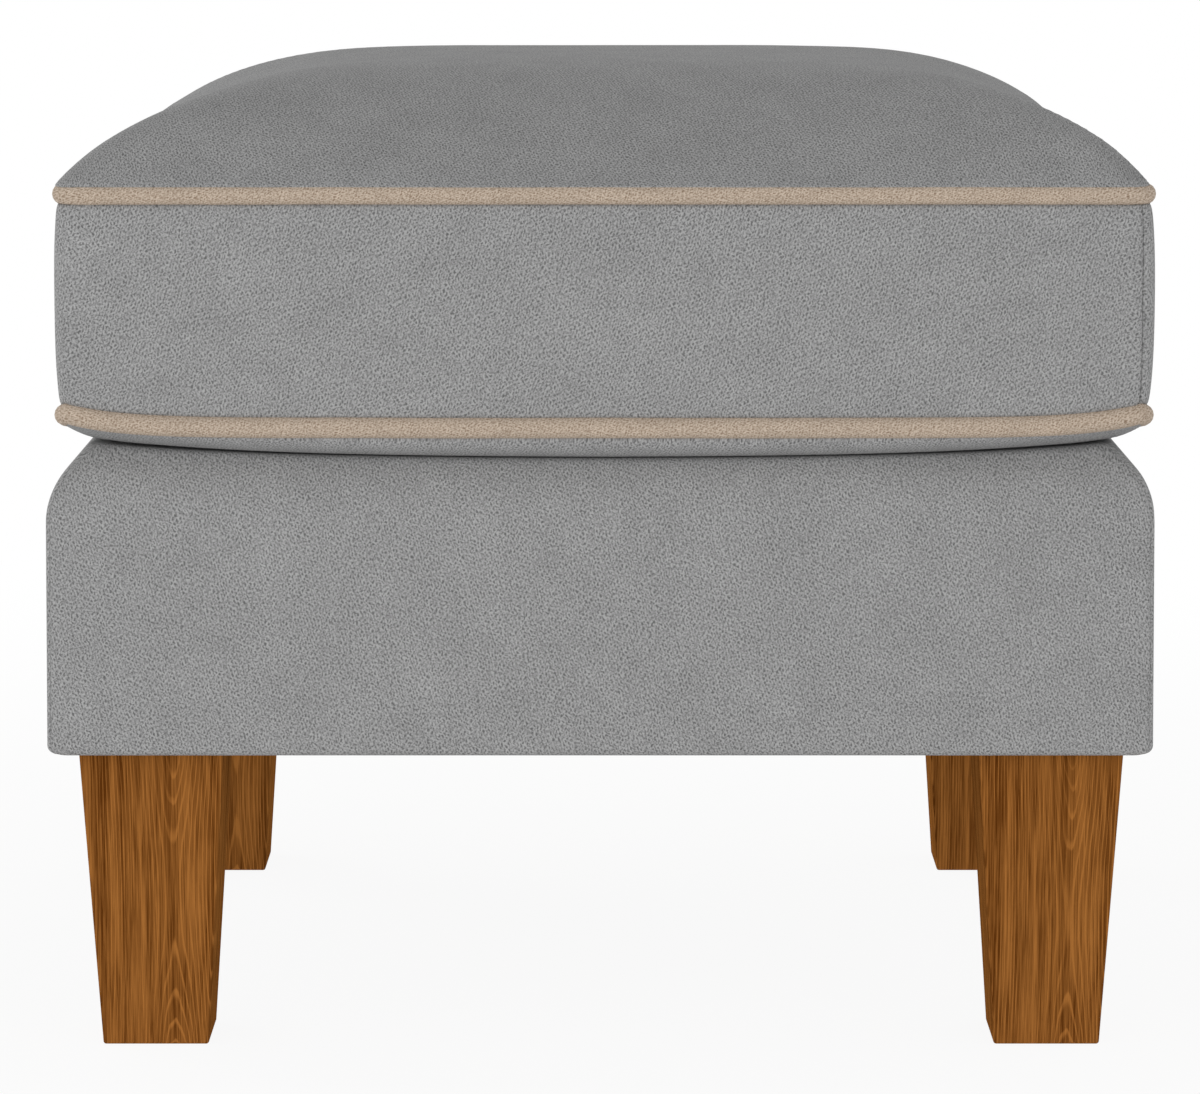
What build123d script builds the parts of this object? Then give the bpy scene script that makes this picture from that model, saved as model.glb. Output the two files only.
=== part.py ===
from build123d import *
from math import cos, radians, sin, sqrt
import os

os.makedirs("parts", exist_ok=True)

# A square footstool: four tapered legs carry an upholstered box, and a loose
# piped cushion lies on top. Millimetres, +Z up, front towards -Y. The origin
# is on the floor, at the middle of the footstool.

# Base
base_width = 550.0
base_depth = 550.0
base_height = 150.0
bottom_edge_radius = 7.0
shoulder_radius = 40.0
shoulder_slope_angle = 47.7
shoulder_slope_length = 8.4

# Fabric cover of the base
cover_thickness = 1.5
cover_return = 30.0
deck_border = 80.0
layer_gap = 0.3
pad_gap = 0.6

# Legs and their fixings
leg_height = 150.0
leg_top_width = 72.0
leg_foot_width = 53.0
leg_inset = 15.0
leg_edge_radius = 1.5
leg_bolt_diameter = 8.0
leg_bolt_in_leg = 45.0
leg_bolt_in_frame = 22.0
leg_bolt_chamfer = 0.8
insert_diameter = 12.0
insert_length = 24.0
insert_flange_diameter = 17.0
insert_flange_thickness = 1.2
fixing_clearance = 0.1
bolt_hole_clearance = 1.0

# Frame
side_padding = 8.0
rail_thickness = 25.0
corner_block_arm = 110.0
corner_block_land = 30.0
corner_block_thickness = 30.0
corner_block_height = 60.0
screw_diameter = 4.5
screw_head_diameter = 9.0
rail_screw_length = 60.0
block_screw_length = 45.0
rail_screw_height_shares = (0.25, 0.75)
block_screw_height_shares = (0.3, 0.7)

# Springing and padding of the base
strap_count = 4
strap_width = 50.0
strap_pitch = 110.0
strap_thickness = 1.6
strap_ramp = 15.0
strap_end_inset = 5.0
deck_felt_thickness = 3.0
deck_foam_thickness = 44.0

# Staples
staple_crown = 10.0
staple_leg = 10.0
staple_wire = 0.7
strap_staple_count = 3
strap_staple_pitch = 16.0
cover_staple_count = 7
dust_staple_count = 5
bottom_staple_pitch = 60.0
cover_staple_inset = 18.0
dust_staple_inset = 26.0

# Dust cover
dust_cover_thickness = 0.8
dust_cover_inset = 12.0

# Cushion, cut a little smaller than the base all round
cushion_setback = 2.5
seat_gap = 0.3
lower_piping_rise = 14.0
boxing_height = 114.5
crown_rise = 59.5
piping_radius = 5.0
piping_fabric = 1.2
piping_corner_radius = 9.0
boxing_setback = 1.8
panel_overhang = 2.0
underside_edge_run = 25.0
crown_edge_power = 4.5
crown_top_power = 1.376
crown_inset_shares = (0.0, 0.05, 0.13, 0.24, 0.38, 0.54, 0.7)
crown_corner_share = 0.242
underside_inset_shares = (0.0, 0.1, 0.35, 1.0)
rear_strip_wrap = 60.0

# Zip in the rear strip
zip_length = 420.0
zip_opening = 12.0
zip_opening_end = 8.0
zip_tape_width = 16.0
zip_tape_thickness = 0.6
zip_tape_end = 16.0
zip_tape_setback = 1.3
zip_tape_gap = 0.6
chain_width = 6.0
chain_thickness = 1.8
chain_spine = 2.0
tooth_pitch = 2.4
tooth_width = 1.4
stop_length = 3.0
stop_overhang = 0.5
slider_length = 12.0
slider_wall = 0.9
slider_plate_thickness = 0.8
slider_clearance = 0.3
slider_corner = 2.0
bail_length = 5.2
bail_wire = 0.8
bail_thickness = 1.6
pull_bar = 0.9
pull_play = 0.4
pull_length = 22.0
pull_width = 6.0
pull_eye = 3.4
pull_corner = 1.2


# Levels, from the floor up
base_bottom = leg_height
cover_bottom = base_bottom + dust_cover_thickness
frame_bottom = cover_bottom + cover_thickness
deck_level = base_bottom + base_height
foam_top = deck_level - cover_thickness - layer_gap
foam_bottom = foam_top - deck_foam_thickness
felt_bottom = foam_bottom - deck_felt_thickness
rail_top = felt_bottom - 2 * strap_thickness
rail_height = rail_top - frame_bottom
roll_angle = 90 - shoulder_slope_angle
shoulder_start = (
    deck_level
    - shoulder_radius * sin(radians(roll_angle))
    - shoulder_slope_length * sin(radians(shoulder_slope_angle))
)

# Half sizes of the base, from the middle outwards
padding_inset = cover_thickness + layer_gap
frame_half_x = base_width / 2 - padding_inset - side_padding
frame_half_y = base_depth / 2 - padding_inset - side_padding
inner_half_x = frame_half_x - rail_thickness
inner_half_y = frame_half_y - rail_thickness
leg_centre_x = base_width / 2 - leg_inset - leg_top_width / 2
leg_centre_y = base_depth / 2 - leg_inset - leg_top_width / 2

# Each corner: which side it is on, and the direction its block is drawn along
corners = {
    "front_left": (-1, -1, (1, 0, 0)),
    "front_right": (1, -1, (0, 1, 0)),
    "rear_right": (1, 1, (-1, 0, 0)),
    "rear_left": (-1, 1, (0, -1, 0)),
}

# Each side of the base: its outward direction, its half depth, its half run
sides = {
    "front": (Vector(0, -1, 0), base_depth / 2, base_width / 2),
    "rear": (Vector(0, 1, 0), base_depth / 2, base_width / 2),
    "left": (Vector(-1, 0, 0), base_width / 2, base_depth / 2),
    "right": (Vector(1, 0, 0), base_width / 2, base_depth / 2),
}
up = Vector(0, 0, 1)


def write_piece(piece, name):
    """Label a finished piece and write it as a STEP file."""
    piece.part.label = name
    export_step(piece.part, f"parts/{name}.step")


def side_plane(outward):
    """An upright plane across one side: x runs outwards and y runs up."""
    return Plane(origin=(0, 0, 0), x_dir=outward, z_dir=outward.cross(up))


def spread(count, pitch):
    """Places in a row, centred on zero."""
    return [(number - (count - 1) / 2) * pitch for number in range(count)]


# Legs: square, tapered alike on all four sides, with a bolt hole in the top
leg_bolt_hole = leg_bolt_diameter / 2 + fixing_clearance
for name, (side_x, side_y, _) in corners.items():
    foot = Plane(origin=(side_x * leg_centre_x, side_y * leg_centre_y, 0))
    with BuildPart() as leg:
        with BuildSketch(foot):
            Rectangle(leg_foot_width, leg_foot_width)
        with BuildSketch(foot.offset(leg_height)):
            Rectangle(leg_top_width, leg_top_width)
        loft(ruled=True)
        fillet(leg.edges() - leg.faces().sort_by(Axis.Z)[-1].edges(), leg_edge_radius)
        with BuildSketch(foot.offset(leg_height)):
            Circle(leg_bolt_hole)
        extrude(amount=-(leg_bolt_in_leg + fixing_clearance), mode=Mode.SUBTRACT)
    write_piece(leg, f"leg_{name}")

# Leg bolts: one end is in the leg, the other in the frame's threaded insert
with BuildPart() as leg_bolts:
    for side_x, side_y, _ in corners.values():
        middle = (side_x * leg_centre_x, side_y * leg_centre_y, leg_height - leg_bolt_in_leg)
        with BuildSketch(Plane(origin=middle)):
            Circle(leg_bolt_diameter / 2)
        extrude(amount=leg_bolt_in_leg + (frame_bottom - leg_height) + leg_bolt_in_frame)
    chamfer(leg_bolts.edges().filter_by(GeomType.CIRCLE), leg_bolt_chamfer)
write_piece(leg_bolts, "leg_bolts")

# Threaded inserts: a sleeve up into the corner block, with a flange under it
with BuildPart() as leg_inserts:
    for side_x, side_y, _ in corners.values():
        seat = Plane(origin=(side_x * leg_centre_x, side_y * leg_centre_y, frame_bottom))
        with BuildSketch(seat):
            Circle(insert_diameter / 2)
        extrude(amount=insert_length)
        with BuildSketch(seat):
            Circle(insert_flange_diameter / 2)
        extrude(amount=-insert_flange_thickness)
        with BuildSketch(seat.offset(-insert_flange_thickness)):
            Circle(leg_bolt_hole)
        extrude(amount=insert_flange_thickness + insert_length, mode=Mode.SUBTRACT)
write_piece(leg_inserts, "leg_inserts")


def countersunk_screw(length, clearance):
    """A screw that points down from its flush head, or its hole where it has clearance."""
    shank = screw_diameter / 2 + clearance
    head = screw_head_diameter / 2 + clearance
    tip = screw_diameter
    with BuildPart() as screw:
        with BuildSketch(Plane.XZ):
            with BuildLine():
                Polyline(
                    (0, 0),
                    (head, 0),
                    (shank, shank - head),
                    (shank, tip - length),
                    (0, -length - clearance),
                    close=True,
                )
            make_face()
        revolve(axis=Axis.Z)
    return screw.part


# Screws that hold the front and rear rails to the ends of the side rails
rail_screw_seats = [
    Plane(
        origin=(
            side_x * (frame_half_x - rail_thickness / 2),
            side_y * frame_half_y,
            frame_bottom + share * rail_height,
        ),
        z_dir=(0, side_y, 0),
    )
    for side_x, side_y, _ in corners.values()
    for share in rail_screw_height_shares
]

# Screws through the two arms of each corner block into the rails
block_screw_seats = []
for side_x, side_y, _ in corners.values():
    for share in block_screw_height_shares:
        height = frame_bottom + share * corner_block_height
        along = corner_block_arm - corner_block_land / 2
        block_screw_seats.append(
            Plane(
                origin=(
                    side_x * (inner_half_x - along),
                    side_y * (inner_half_y - corner_block_thickness),
                    height,
                ),
                z_dir=(0, -side_y, 0),
            )
        )
        block_screw_seats.append(
            Plane(
                origin=(
                    side_x * (inner_half_x - corner_block_thickness),
                    side_y * (inner_half_y - along),
                    height,
                ),
                z_dir=(-side_x, 0, 0),
            )
        )

rail_screw = countersunk_screw(rail_screw_length, 0)
rail_screw_hole = countersunk_screw(rail_screw_length, fixing_clearance)
block_screw = countersunk_screw(block_screw_length, 0)
block_screw_hole = countersunk_screw(block_screw_length, fixing_clearance)

with BuildPart() as rail_screws:
    with Locations(*rail_screw_seats):
        add(rail_screw)
write_piece(rail_screws, "rail_screws")

with BuildPart() as corner_block_screws:
    with Locations(*block_screw_seats):
        add(block_screw)
write_piece(corner_block_screws, "corner_block_screws")

# Rails: the front and rear ones run the full width, the side ones fit between
for name, (outward, _, _) in sides.items():
    across = abs(outward.Y) > 0
    middle = outward * (inner_half_y if across else inner_half_x)
    run = 2 * (frame_half_x if across else inner_half_y)
    with BuildPart() as rail:
        with BuildSketch(side_plane(outward).offset(-run / 2)):
            with Locations((middle.length, frame_bottom)):
                Rectangle(rail_thickness, rail_height, align=(Align.MIN, Align.MIN))
        extrude(amount=run)
        with Locations(*rail_screw_seats):
            add(rail_screw_hole, mode=Mode.SUBTRACT)
        with Locations(*block_screw_seats):
            add(block_screw_hole, mode=Mode.SUBTRACT)
    write_piece(rail, f"{name}_rail")

# Corner blocks: glued and screwed inside each corner, and bored for the leg's insert
for name, (side_x, side_y, along) in corners.items():
    corner = Plane(
        origin=(side_x * inner_half_x, side_y * inner_half_y, frame_bottom), x_dir=along, z_dir=up
    )
    leg_axis = Plane(origin=(side_x * leg_centre_x, side_y * leg_centre_y, frame_bottom))
    with BuildPart() as corner_block:
        with BuildSketch(corner):
            with BuildLine():
                Polyline(
                    (0, 0),
                    (corner_block_arm, 0),
                    (corner_block_arm, corner_block_thickness),
                    (corner_block_arm - corner_block_land, corner_block_thickness),
                    (corner_block_thickness, corner_block_arm - corner_block_land),
                    (corner_block_thickness, corner_block_arm),
                    (0, corner_block_arm),
                    close=True,
                )
            make_face()
        extrude(amount=corner_block_height)
        with BuildSketch(leg_axis):
            Circle(insert_diameter / 2 + fixing_clearance)
        extrude(amount=insert_length + fixing_clearance, mode=Mode.SUBTRACT)
        with Locations(*block_screw_seats):
            add(block_screw_hole, mode=Mode.SUBTRACT)
    write_piece(corner_block, f"corner_block_{name}")


def strap_outline(half_run, crossings):
    """A strap's long side: level, with a bump over each strap that it crosses on top."""
    low = [(-half_run, 0)]
    for place in crossings:
        near = place - strap_width / 2
        far = place + strap_width / 2
        low.append((near - strap_ramp, 0))
        low.append((near, strap_thickness))
        low.append((far, strap_thickness))
        low.append((far + strap_ramp, 0))
    low.append((half_run, 0))
    high = [(along, height + strap_thickness) for along, height in reversed(low)]
    return low + high


# Webbing: two sets of straps woven through each other, over the tops of the rails
strap_places = spread(strap_count, strap_pitch)
strap_end_x = frame_half_x - strap_end_inset
strap_end_y = frame_half_y - strap_end_inset
with BuildPart() as webbing_crosswise:
    for row, place in enumerate(strap_places):
        over = [crossing for column, crossing in enumerate(strap_places) if (row + column) % 2 == 0]
        with BuildSketch(Plane(origin=(0, place, rail_top), x_dir=(1, 0, 0), z_dir=(0, -1, 0))):
            with BuildLine():
                Polyline(*strap_outline(strap_end_x, over), close=True)
            make_face()
        extrude(amount=strap_width / 2, both=True)
write_piece(webbing_crosswise, "webbing_crosswise")

with BuildPart() as webbing_lengthwise:
    for column, place in enumerate(strap_places):
        over = [crossing for row, crossing in enumerate(strap_places) if (row + column) % 2 == 1]
        with BuildSketch(Plane(origin=(place, 0, rail_top), x_dir=(0, 1, 0), z_dir=(1, 0, 0))):
            with BuildLine():
                Polyline(*strap_outline(strap_end_y, over), close=True)
            make_face()
        extrude(amount=strap_width / 2, both=True)
write_piece(webbing_lengthwise, "webbing_lengthwise")

# A staple that points down from the top of its crown
with BuildPart() as staple:
    with BuildSketch(Plane.XZ):
        Rectangle(staple_crown, staple_leg, align=(Align.CENTER, Align.MAX))
        with Locations((0, -staple_wire)):
            Rectangle(
                staple_crown - 2 * staple_wire,
                staple_leg,
                align=(Align.CENTER, Align.MAX),
                mode=Mode.SUBTRACT,
            )
    extrude(amount=staple_wire / 2, both=True)

# Webbing staples: a row across both ends of every strap, driven into the rails
strap_staple_level = rail_top + strap_thickness + staple_wire
strap_staple_x = frame_half_x - rail_thickness / 2
strap_staple_y = frame_half_y - rail_thickness / 2
strap_staple_places = []
for place in strap_places:
    for step in spread(strap_staple_count, strap_staple_pitch):
        for end in (-1, 1):
            lengthwise_spot = (place + step, end * strap_staple_y, strap_staple_level)
            crosswise_spot = (end * strap_staple_x, place + step, strap_staple_level)
            strap_staple_places.append(Plane(origin=lengthwise_spot))
            strap_staple_places.append(Plane(origin=crosswise_spot, x_dir=(0, 1, 0)))
with BuildPart() as webbing_staples:
    with Locations(*strap_staple_places):
        add(staple.part)
write_piece(webbing_staples, "webbing_staples")


def bottom_staple_places(count, inset, level):
    """Staples in a row under each side rail, pointing up."""
    places = []
    for outward, half_depth, _ in sides.values():
        along = outward.cross(up)
        for step in spread(count, bottom_staple_pitch):
            spot = outward * (half_depth - inset) + along * step + up * level
            places.append(Plane(origin=spot, x_dir=along, z_dir=-up))
    return places


# Cover staples: flush in the turned-under edge of the cover
with BuildPart() as cover_staples:
    with Locations(*bottom_staple_places(cover_staple_count, cover_staple_inset, cover_bottom)):
        add(staple.part)
write_piece(cover_staples, "cover_staples")

# Dust cover: a thin cloth under the base, with a hole for each leg bolt
dust_cover_width = base_width - 2 * dust_cover_inset
dust_cover_depth = base_depth - 2 * dust_cover_inset
with BuildPart() as dust_cover:
    with BuildSketch(Plane.XY.offset(base_bottom)):
        Rectangle(dust_cover_width, dust_cover_depth)
        with Locations(*[(sx * leg_centre_x, sy * leg_centre_y) for sx, sy, _ in corners.values()]):
            Circle(leg_bolt_diameter / 2 + bolt_hole_clearance, mode=Mode.SUBTRACT)
    extrude(amount=dust_cover_thickness)
write_piece(dust_cover, "dust_cover")

# Dust cover staples: their crowns lie under the cloth, between the legs
dust_staple_level = base_bottom - staple_wire
with BuildPart() as dust_cover_staples:
    with Locations(*bottom_staple_places(dust_staple_count, dust_staple_inset, dust_staple_level)):
        add(staple.part)
write_piece(dust_cover_staples, "dust_cover_staples")

# Felt that keeps the foam off the webbing
with BuildPart() as deck_felt:
    with BuildSketch(Plane.XY.offset(felt_bottom)):
        Rectangle(2 * frame_half_x, 2 * frame_half_y)
    extrude(amount=deck_felt_thickness)
write_piece(deck_felt, "deck_felt")

# Wadding: a soft band round the outside of the rails
wadding_bottom = cover_bottom + bottom_edge_radius
with BuildPart() as side_wadding:
    with BuildSketch(Plane.XY.offset(wadding_bottom)):
        Rectangle(base_width - 2 * padding_inset, base_depth - 2 * padding_inset)
        Rectangle(2 * frame_half_x, 2 * frame_half_y, mode=Mode.SUBTRACT)
    extrude(amount=foam_bottom - wadding_bottom)
write_piece(side_wadding, "side_wadding")


def shoulder_line(wall_foot, half_depth, inset, end_place):
    """Up the side, round the shoulder, up its slope and in along the deck."""
    deck = deck_level - inset
    slope_direction = (-cos(radians(shoulder_slope_angle)), sin(radians(shoulder_slope_angle)))
    with BuildLine() as line:
        wall = Line(wall_foot, (half_depth - inset, shoulder_start))
        roll = JernArc(wall @ 1, (0, 1), shoulder_radius - inset, roll_angle)
        slope_rise = deck - (roll @ 1).Y
        slope = PolarLine(
            roll @ 1, slope_rise, direction=slope_direction, length_mode=LengthMode.VERTICAL
        )
        Line(slope @ 1, (end_place, deck))
    return line.line


def cover_line(half_depth, inset):
    """One face of the cover, from its turned-under edge to its edge on the deck."""
    low = cover_bottom + inset
    with BuildLine() as line:
        turned_under = Line((half_depth - cover_return, low), (half_depth - bottom_edge_radius, low))
        turn = JernArc(turned_under @ 1, (1, 0), bottom_edge_radius - inset, 90)
        add(shoulder_line(turn @ 1, half_depth, inset, half_depth - deck_border))
    return line.line


# Deck foam: it overhangs the rails and gives the base its sloped shoulder
def foam_outline(half_depth):
    """Half of the foam's section, on the outward side of the middle."""
    foot = (half_depth - padding_inset, foam_bottom)
    with BuildSketch() as outline:
        with BuildLine():
            add(shoulder_line(foot, half_depth, padding_inset, 0))
            Polyline((0, foam_top), (0, foam_bottom), foot)
        make_face()
        mirror(about=Plane.YZ)
    return outline.sketch


with BuildPart() as deck_foam:
    with BuildSketch(side_plane(sides["rear"][0])):
        add(foam_outline(base_depth / 2))
    extrude(amount=base_width / 2 - padding_inset, both=True)
    with BuildSketch(side_plane(sides["right"][0])):
        add(foam_outline(base_width / 2))
    extrude(amount=base_depth / 2 - padding_inset, both=True, mode=Mode.INTERSECT)
write_piece(deck_foam, "deck_foam")

# Cover panels: one for each side, sewn to its neighbours along the corners
for name, (outward, half_depth, half_run) in sides.items():
    along = outward.cross(up)
    outer_line = cover_line(half_depth, 0)
    inner_line = cover_line(half_depth, cover_thickness)
    with BuildPart() as cover_panel:
        with BuildSketch(side_plane(outward)):
            with BuildLine():
                add(outer_line)
                add(inner_line)
                Line(outer_line @ 0, inner_line @ 0)
                Line(outer_line @ 1, inner_line @ 1)
            make_face()
        extrude(amount=half_run, both=True)
        for end in (-1, 1):
            corner = outward * half_depth + along * (end * half_run)
            split(bisect_by=Plane(origin=corner, z_dir=outward - along * end), keep=Keep.TOP)
    write_piece(cover_panel, f"{name}_cover_panel")

# Platform lining: the plain cloth of the deck, hidden under the cushion
with BuildPart() as platform_lining:
    with BuildSketch(Plane.XY.offset(deck_level)):
        Rectangle(base_width - 2 * deck_border, base_depth - 2 * deck_border)
    extrude(amount=-cover_thickness)
write_piece(platform_lining, "platform_lining")


# Cushion levels and half sizes
lower_piping_level = deck_level + lower_piping_rise
upper_piping_level = lower_piping_level + boxing_height
boxing_middle = (lower_piping_level + upper_piping_level) / 2
path_half_x = base_width / 2 - cushion_setback - piping_radius
path_half_y = base_depth / 2 - cushion_setback - piping_radius
piping_reach = piping_radius + layer_gap
cord_radius = piping_radius - piping_fabric - fixing_clearance
core_bottom = lower_piping_level + piping_reach
core_top = upper_piping_level - piping_reach
plug_half_x = path_half_x - piping_reach
plug_half_y = path_half_y - piping_reach
plug_corner = piping_corner_radius - piping_reach


def piping_run(level, outer_radius, inner_radius):
    """A closed run of piping round the cushion, hollow where it has an inner radius."""
    with BuildPart() as run:
        with BuildLine(Plane.XY.offset(level)) as route:
            FilletPolyline(
                (-path_half_x, -path_half_y),
                (path_half_x, -path_half_y),
                (path_half_x, path_half_y),
                (-path_half_x, path_half_y),
                radius=piping_corner_radius,
                close=True,
            )
        start = Plane(origin=route.line @ 0, z_dir=route.line % 0)
        with BuildSketch(start):
            Circle(outer_radius)
        sweep(path=route.line)
        if inner_radius > 0:
            with BuildSketch(start):
                Circle(inner_radius)
            sweep(path=route.line, mode=Mode.SUBTRACT)
    return run


for name, level in (("lower", lower_piping_level), ("upper", upper_piping_level)):
    write_piece(piping_run(level, piping_radius, piping_radius - piping_fabric), f"{name}_piping_cover")
    write_piece(piping_run(level, cord_radius, 0), f"{name}_piping_cord")


def crown_height_share(share):
    """How much of its height the crown has, at a share of the way in from its edge."""
    return (1 - (1 - share) ** crown_edge_power) ** (1 / crown_top_power)


def crown(inset):
    """The swelling top of the cushion, a given distance inside the top panel's face."""
    half_x = path_half_x + panel_overhang - inset
    half_y = path_half_y + panel_overhang - inset
    corner = piping_corner_radius + panel_overhang - inset
    rise = crown_rise - piping_reach - inset
    full_share = crown_height_share(crown_inset_shares[-1])
    with BuildPart() as form:
        for share in crown_inset_shares:
            height = rise * crown_height_share(share) / full_share
            with BuildSketch(Plane.XY.offset(upper_piping_level + piping_reach + height)):
                RectangleRounded(
                    2 * half_x * (1 - share),
                    2 * half_y * (1 - share),
                    corner + crown_corner_share * share * min(half_x, half_y),
                )
        loft()
    return form.part


def underside(inset):
    """The flattened bottom of the cushion, a given distance inside the bottom panel's face."""
    half_x = path_half_x - inset
    half_y = path_half_y - inset
    corner = piping_corner_radius - inset
    drop = lower_piping_rise - piping_reach - seat_gap - inset
    with BuildPart() as form:
        for share in underside_inset_shares:
            depth = drop * sqrt(1 - (1 - share) ** 2)
            run = share * underside_edge_run
            with BuildSketch(Plane.XY.offset(lower_piping_level - piping_reach - depth)):
                RectangleRounded(2 * (half_x - run), 2 * (half_y - run), corner)
        loft()
    return form.part


# Top and bottom panels of the cushion's cover
with BuildPart() as top_panel:
    add(crown(0))
    add(crown(cover_thickness), mode=Mode.SUBTRACT)
write_piece(top_panel, "top_panel")

with BuildPart() as bottom_panel:
    add(underside(0))
    add(underside(cover_thickness), mode=Mode.SUBTRACT)
write_piece(bottom_panel, "bottom_panel")

# Fibre pads: they fill the crown above the foam, and the thin space below it
with BuildPart() as top_fibre_pad:
    add(crown(cover_thickness + pad_gap))
    with BuildSketch(Plane.XY.offset(core_top)):
        RectangleRounded(2 * plug_half_x, 2 * plug_half_y, plug_corner)
    extrude(amount=upper_piping_level + piping_reach - core_top)
write_piece(top_fibre_pad, "top_fibre_pad")

with BuildPart() as bottom_fibre_pad:
    add(underside(cover_thickness + pad_gap))
    with BuildSketch(Plane.XY.offset(core_bottom)):
        RectangleRounded(2 * plug_half_x, 2 * plug_half_y, plug_corner)
    extrude(amount=lower_piping_level - piping_reach - core_bottom)
write_piece(bottom_fibre_pad, "bottom_fibre_pad")

# Boxing: the upright strip, which swells a little between its two seams
boxing_face = piping_radius
boxing_back = boxing_face - cover_thickness
boxing_edge_back = boxing_back - boxing_setback
boxing_half = boxing_height / 2 - sqrt(piping_radius**2 - boxing_edge_back**2) - layer_gap
corner_x = path_half_x - piping_corner_radius
corner_y = path_half_y - piping_corner_radius
rear_seam = path_half_y - rear_strip_wrap


def boxing_strip(route):
    """A strip of boxing along a route that goes clockwise, seen from above."""
    start = Plane(origin=route @ 0, x_dir=(route % 0).cross(up) * -1, z_dir=route % 0)
    with BuildPart() as strip:
        with BuildSketch(start):
            with BuildLine():
                ThreePointArc(
                    (boxing_face - boxing_setback, boxing_half),
                    (boxing_face, 0),
                    (boxing_face - boxing_setback, -boxing_half),
                )
                ThreePointArc(
                    (boxing_edge_back, boxing_half),
                    (boxing_back, 0),
                    (boxing_edge_back, -boxing_half),
                )
                Line((boxing_edge_back, boxing_half), (boxing_face - boxing_setback, boxing_half))
                Line((boxing_edge_back, -boxing_half), (boxing_face - boxing_setback, -boxing_half))
            make_face()
        sweep(path=route)
    return strip.part


# The front strip starts at a seam in the right front corner, wraps the left front
# corner without a seam and ends part way along the left side
with BuildLine(Plane.XY.offset(boxing_middle)) as front_route:
    CenterArc((corner_x, -corner_y), piping_corner_radius, -45, -45)
    Line((corner_x, -path_half_y), (-corner_x, -path_half_y))
    CenterArc((-corner_x, -corner_y), piping_corner_radius, -90, -90)
    Line((-path_half_x, -corner_y), (-path_half_x, rear_seam))
with BuildPart() as front_boxing:
    add(boxing_strip(front_route.line))
write_piece(front_boxing, "front_boxing")

with BuildLine(Plane.XY.offset(boxing_middle)) as right_route:
    Line((path_half_x, rear_seam), (path_half_x, -corner_y))
    CenterArc((corner_x, -corner_y), piping_corner_radius, 0, -45)
with BuildPart() as right_boxing:
    add(boxing_strip(right_route.line))
write_piece(right_boxing, "right_boxing")

# The rear strip is in two halves, with a slot between them for the zip
with BuildLine(Plane.XY.offset(boxing_middle)) as rear_route:
    Line((-path_half_x, rear_seam), (-path_half_x, corner_y))
    CenterArc((-corner_x, corner_y), piping_corner_radius, 180, -90)
    Line((-corner_x, path_half_y), (corner_x, path_half_y))
    CenterArc((corner_x, corner_y), piping_corner_radius, 90, -90)
    Line((path_half_x, corner_y), (path_half_x, rear_seam))
rear_strip = boxing_strip(rear_route.line)
zip_slot = Plane(origin=(0, path_half_y, boxing_middle))
for name, keep_side in (("upper", Keep.TOP), ("lower", Keep.BOTTOM)):
    with BuildPart() as rear_boxing:
        add(rear_strip)
        with BuildSketch(zip_slot.offset(-zip_opening / 2)):
            Rectangle(zip_length + 2 * zip_opening_end, 4 * piping_radius)
        extrude(amount=zip_opening, mode=Mode.SUBTRACT)
        split(bisect_by=Plane.XY.offset(boxing_middle), keep=keep_side)
    write_piece(rear_boxing, f"rear_boxing_{name}")

# Foam core: a slab between the two runs of piping
core_half_x = path_half_x + boxing_edge_back - layer_gap
core_half_y = path_half_y + boxing_edge_back - layer_gap
with BuildPart() as foam_core:
    with BuildSketch(Plane.XY.offset(core_bottom)):
        RectangleRounded(
            2 * core_half_x, 2 * core_half_y, piping_corner_radius + boxing_edge_back - layer_gap
        )
    extrude(amount=core_top - core_bottom)
write_piece(foam_core, "foam_core")

# Zip: distances outwards from the piping's centre line
tape_face = boxing_back - zip_tape_setback
chain_face = tape_face + chain_thickness
plate_back = chain_face + layer_gap
plate_face = plate_back + slider_plate_thickness
rear_plane = Plane(origin=(0, path_half_y, boxing_middle), x_dir=(-1, 0, 0), z_dir=(0, 1, 0))

# Two tapes behind the slot, one on each side of the chain
for name, side in (("upper", 1), ("lower", -1)):
    with BuildPart() as zip_tape:
        with BuildSketch(rear_plane.offset(tape_face)):
            with Locations((0, side * (zip_tape_gap + zip_tape_width) / 2)):
                Rectangle(zip_length + 2 * zip_tape_end, zip_tape_width)
        extrude(amount=-zip_tape_thickness)
    write_piece(zip_tape, f"zip_tape_{name}")

# Zip chain: two rows of teeth, meshed along a spine
tooth_count = int((zip_length - tooth_width) / tooth_pitch)
tooth_reach = chain_width / 2
with BuildPart() as zip_chain:
    with BuildSketch(rear_plane.offset(tape_face)):
        Rectangle(zip_length, chain_spine)
        with Locations((-tooth_pitch / 4, tooth_reach / 2)):
            with GridLocations(tooth_pitch, 0, tooth_count, 1):
                Rectangle(tooth_width, tooth_reach)
        with Locations((tooth_pitch / 4, -tooth_reach / 2)):
            with GridLocations(tooth_pitch, 0, tooth_count, 1):
                Rectangle(tooth_width, tooth_reach)
    extrude(amount=chain_thickness)
write_piece(zip_chain, "zip_chain")

# Zip stops: a clamp at each end of the chain, which the slider can't pass
stop_height = chain_width + 2 * (slider_clearance + stop_overhang)
with BuildPart() as zip_stops:
    with BuildSketch(rear_plane.offset(tape_face)):
        for end in (-1, 1):
            with Locations((end * (zip_length + stop_length) / 2, 0)):
                Rectangle(stop_length, stop_height)
    extrude(amount=plate_face - tape_face)
write_piece(zip_stops, "zip_stops")

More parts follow.
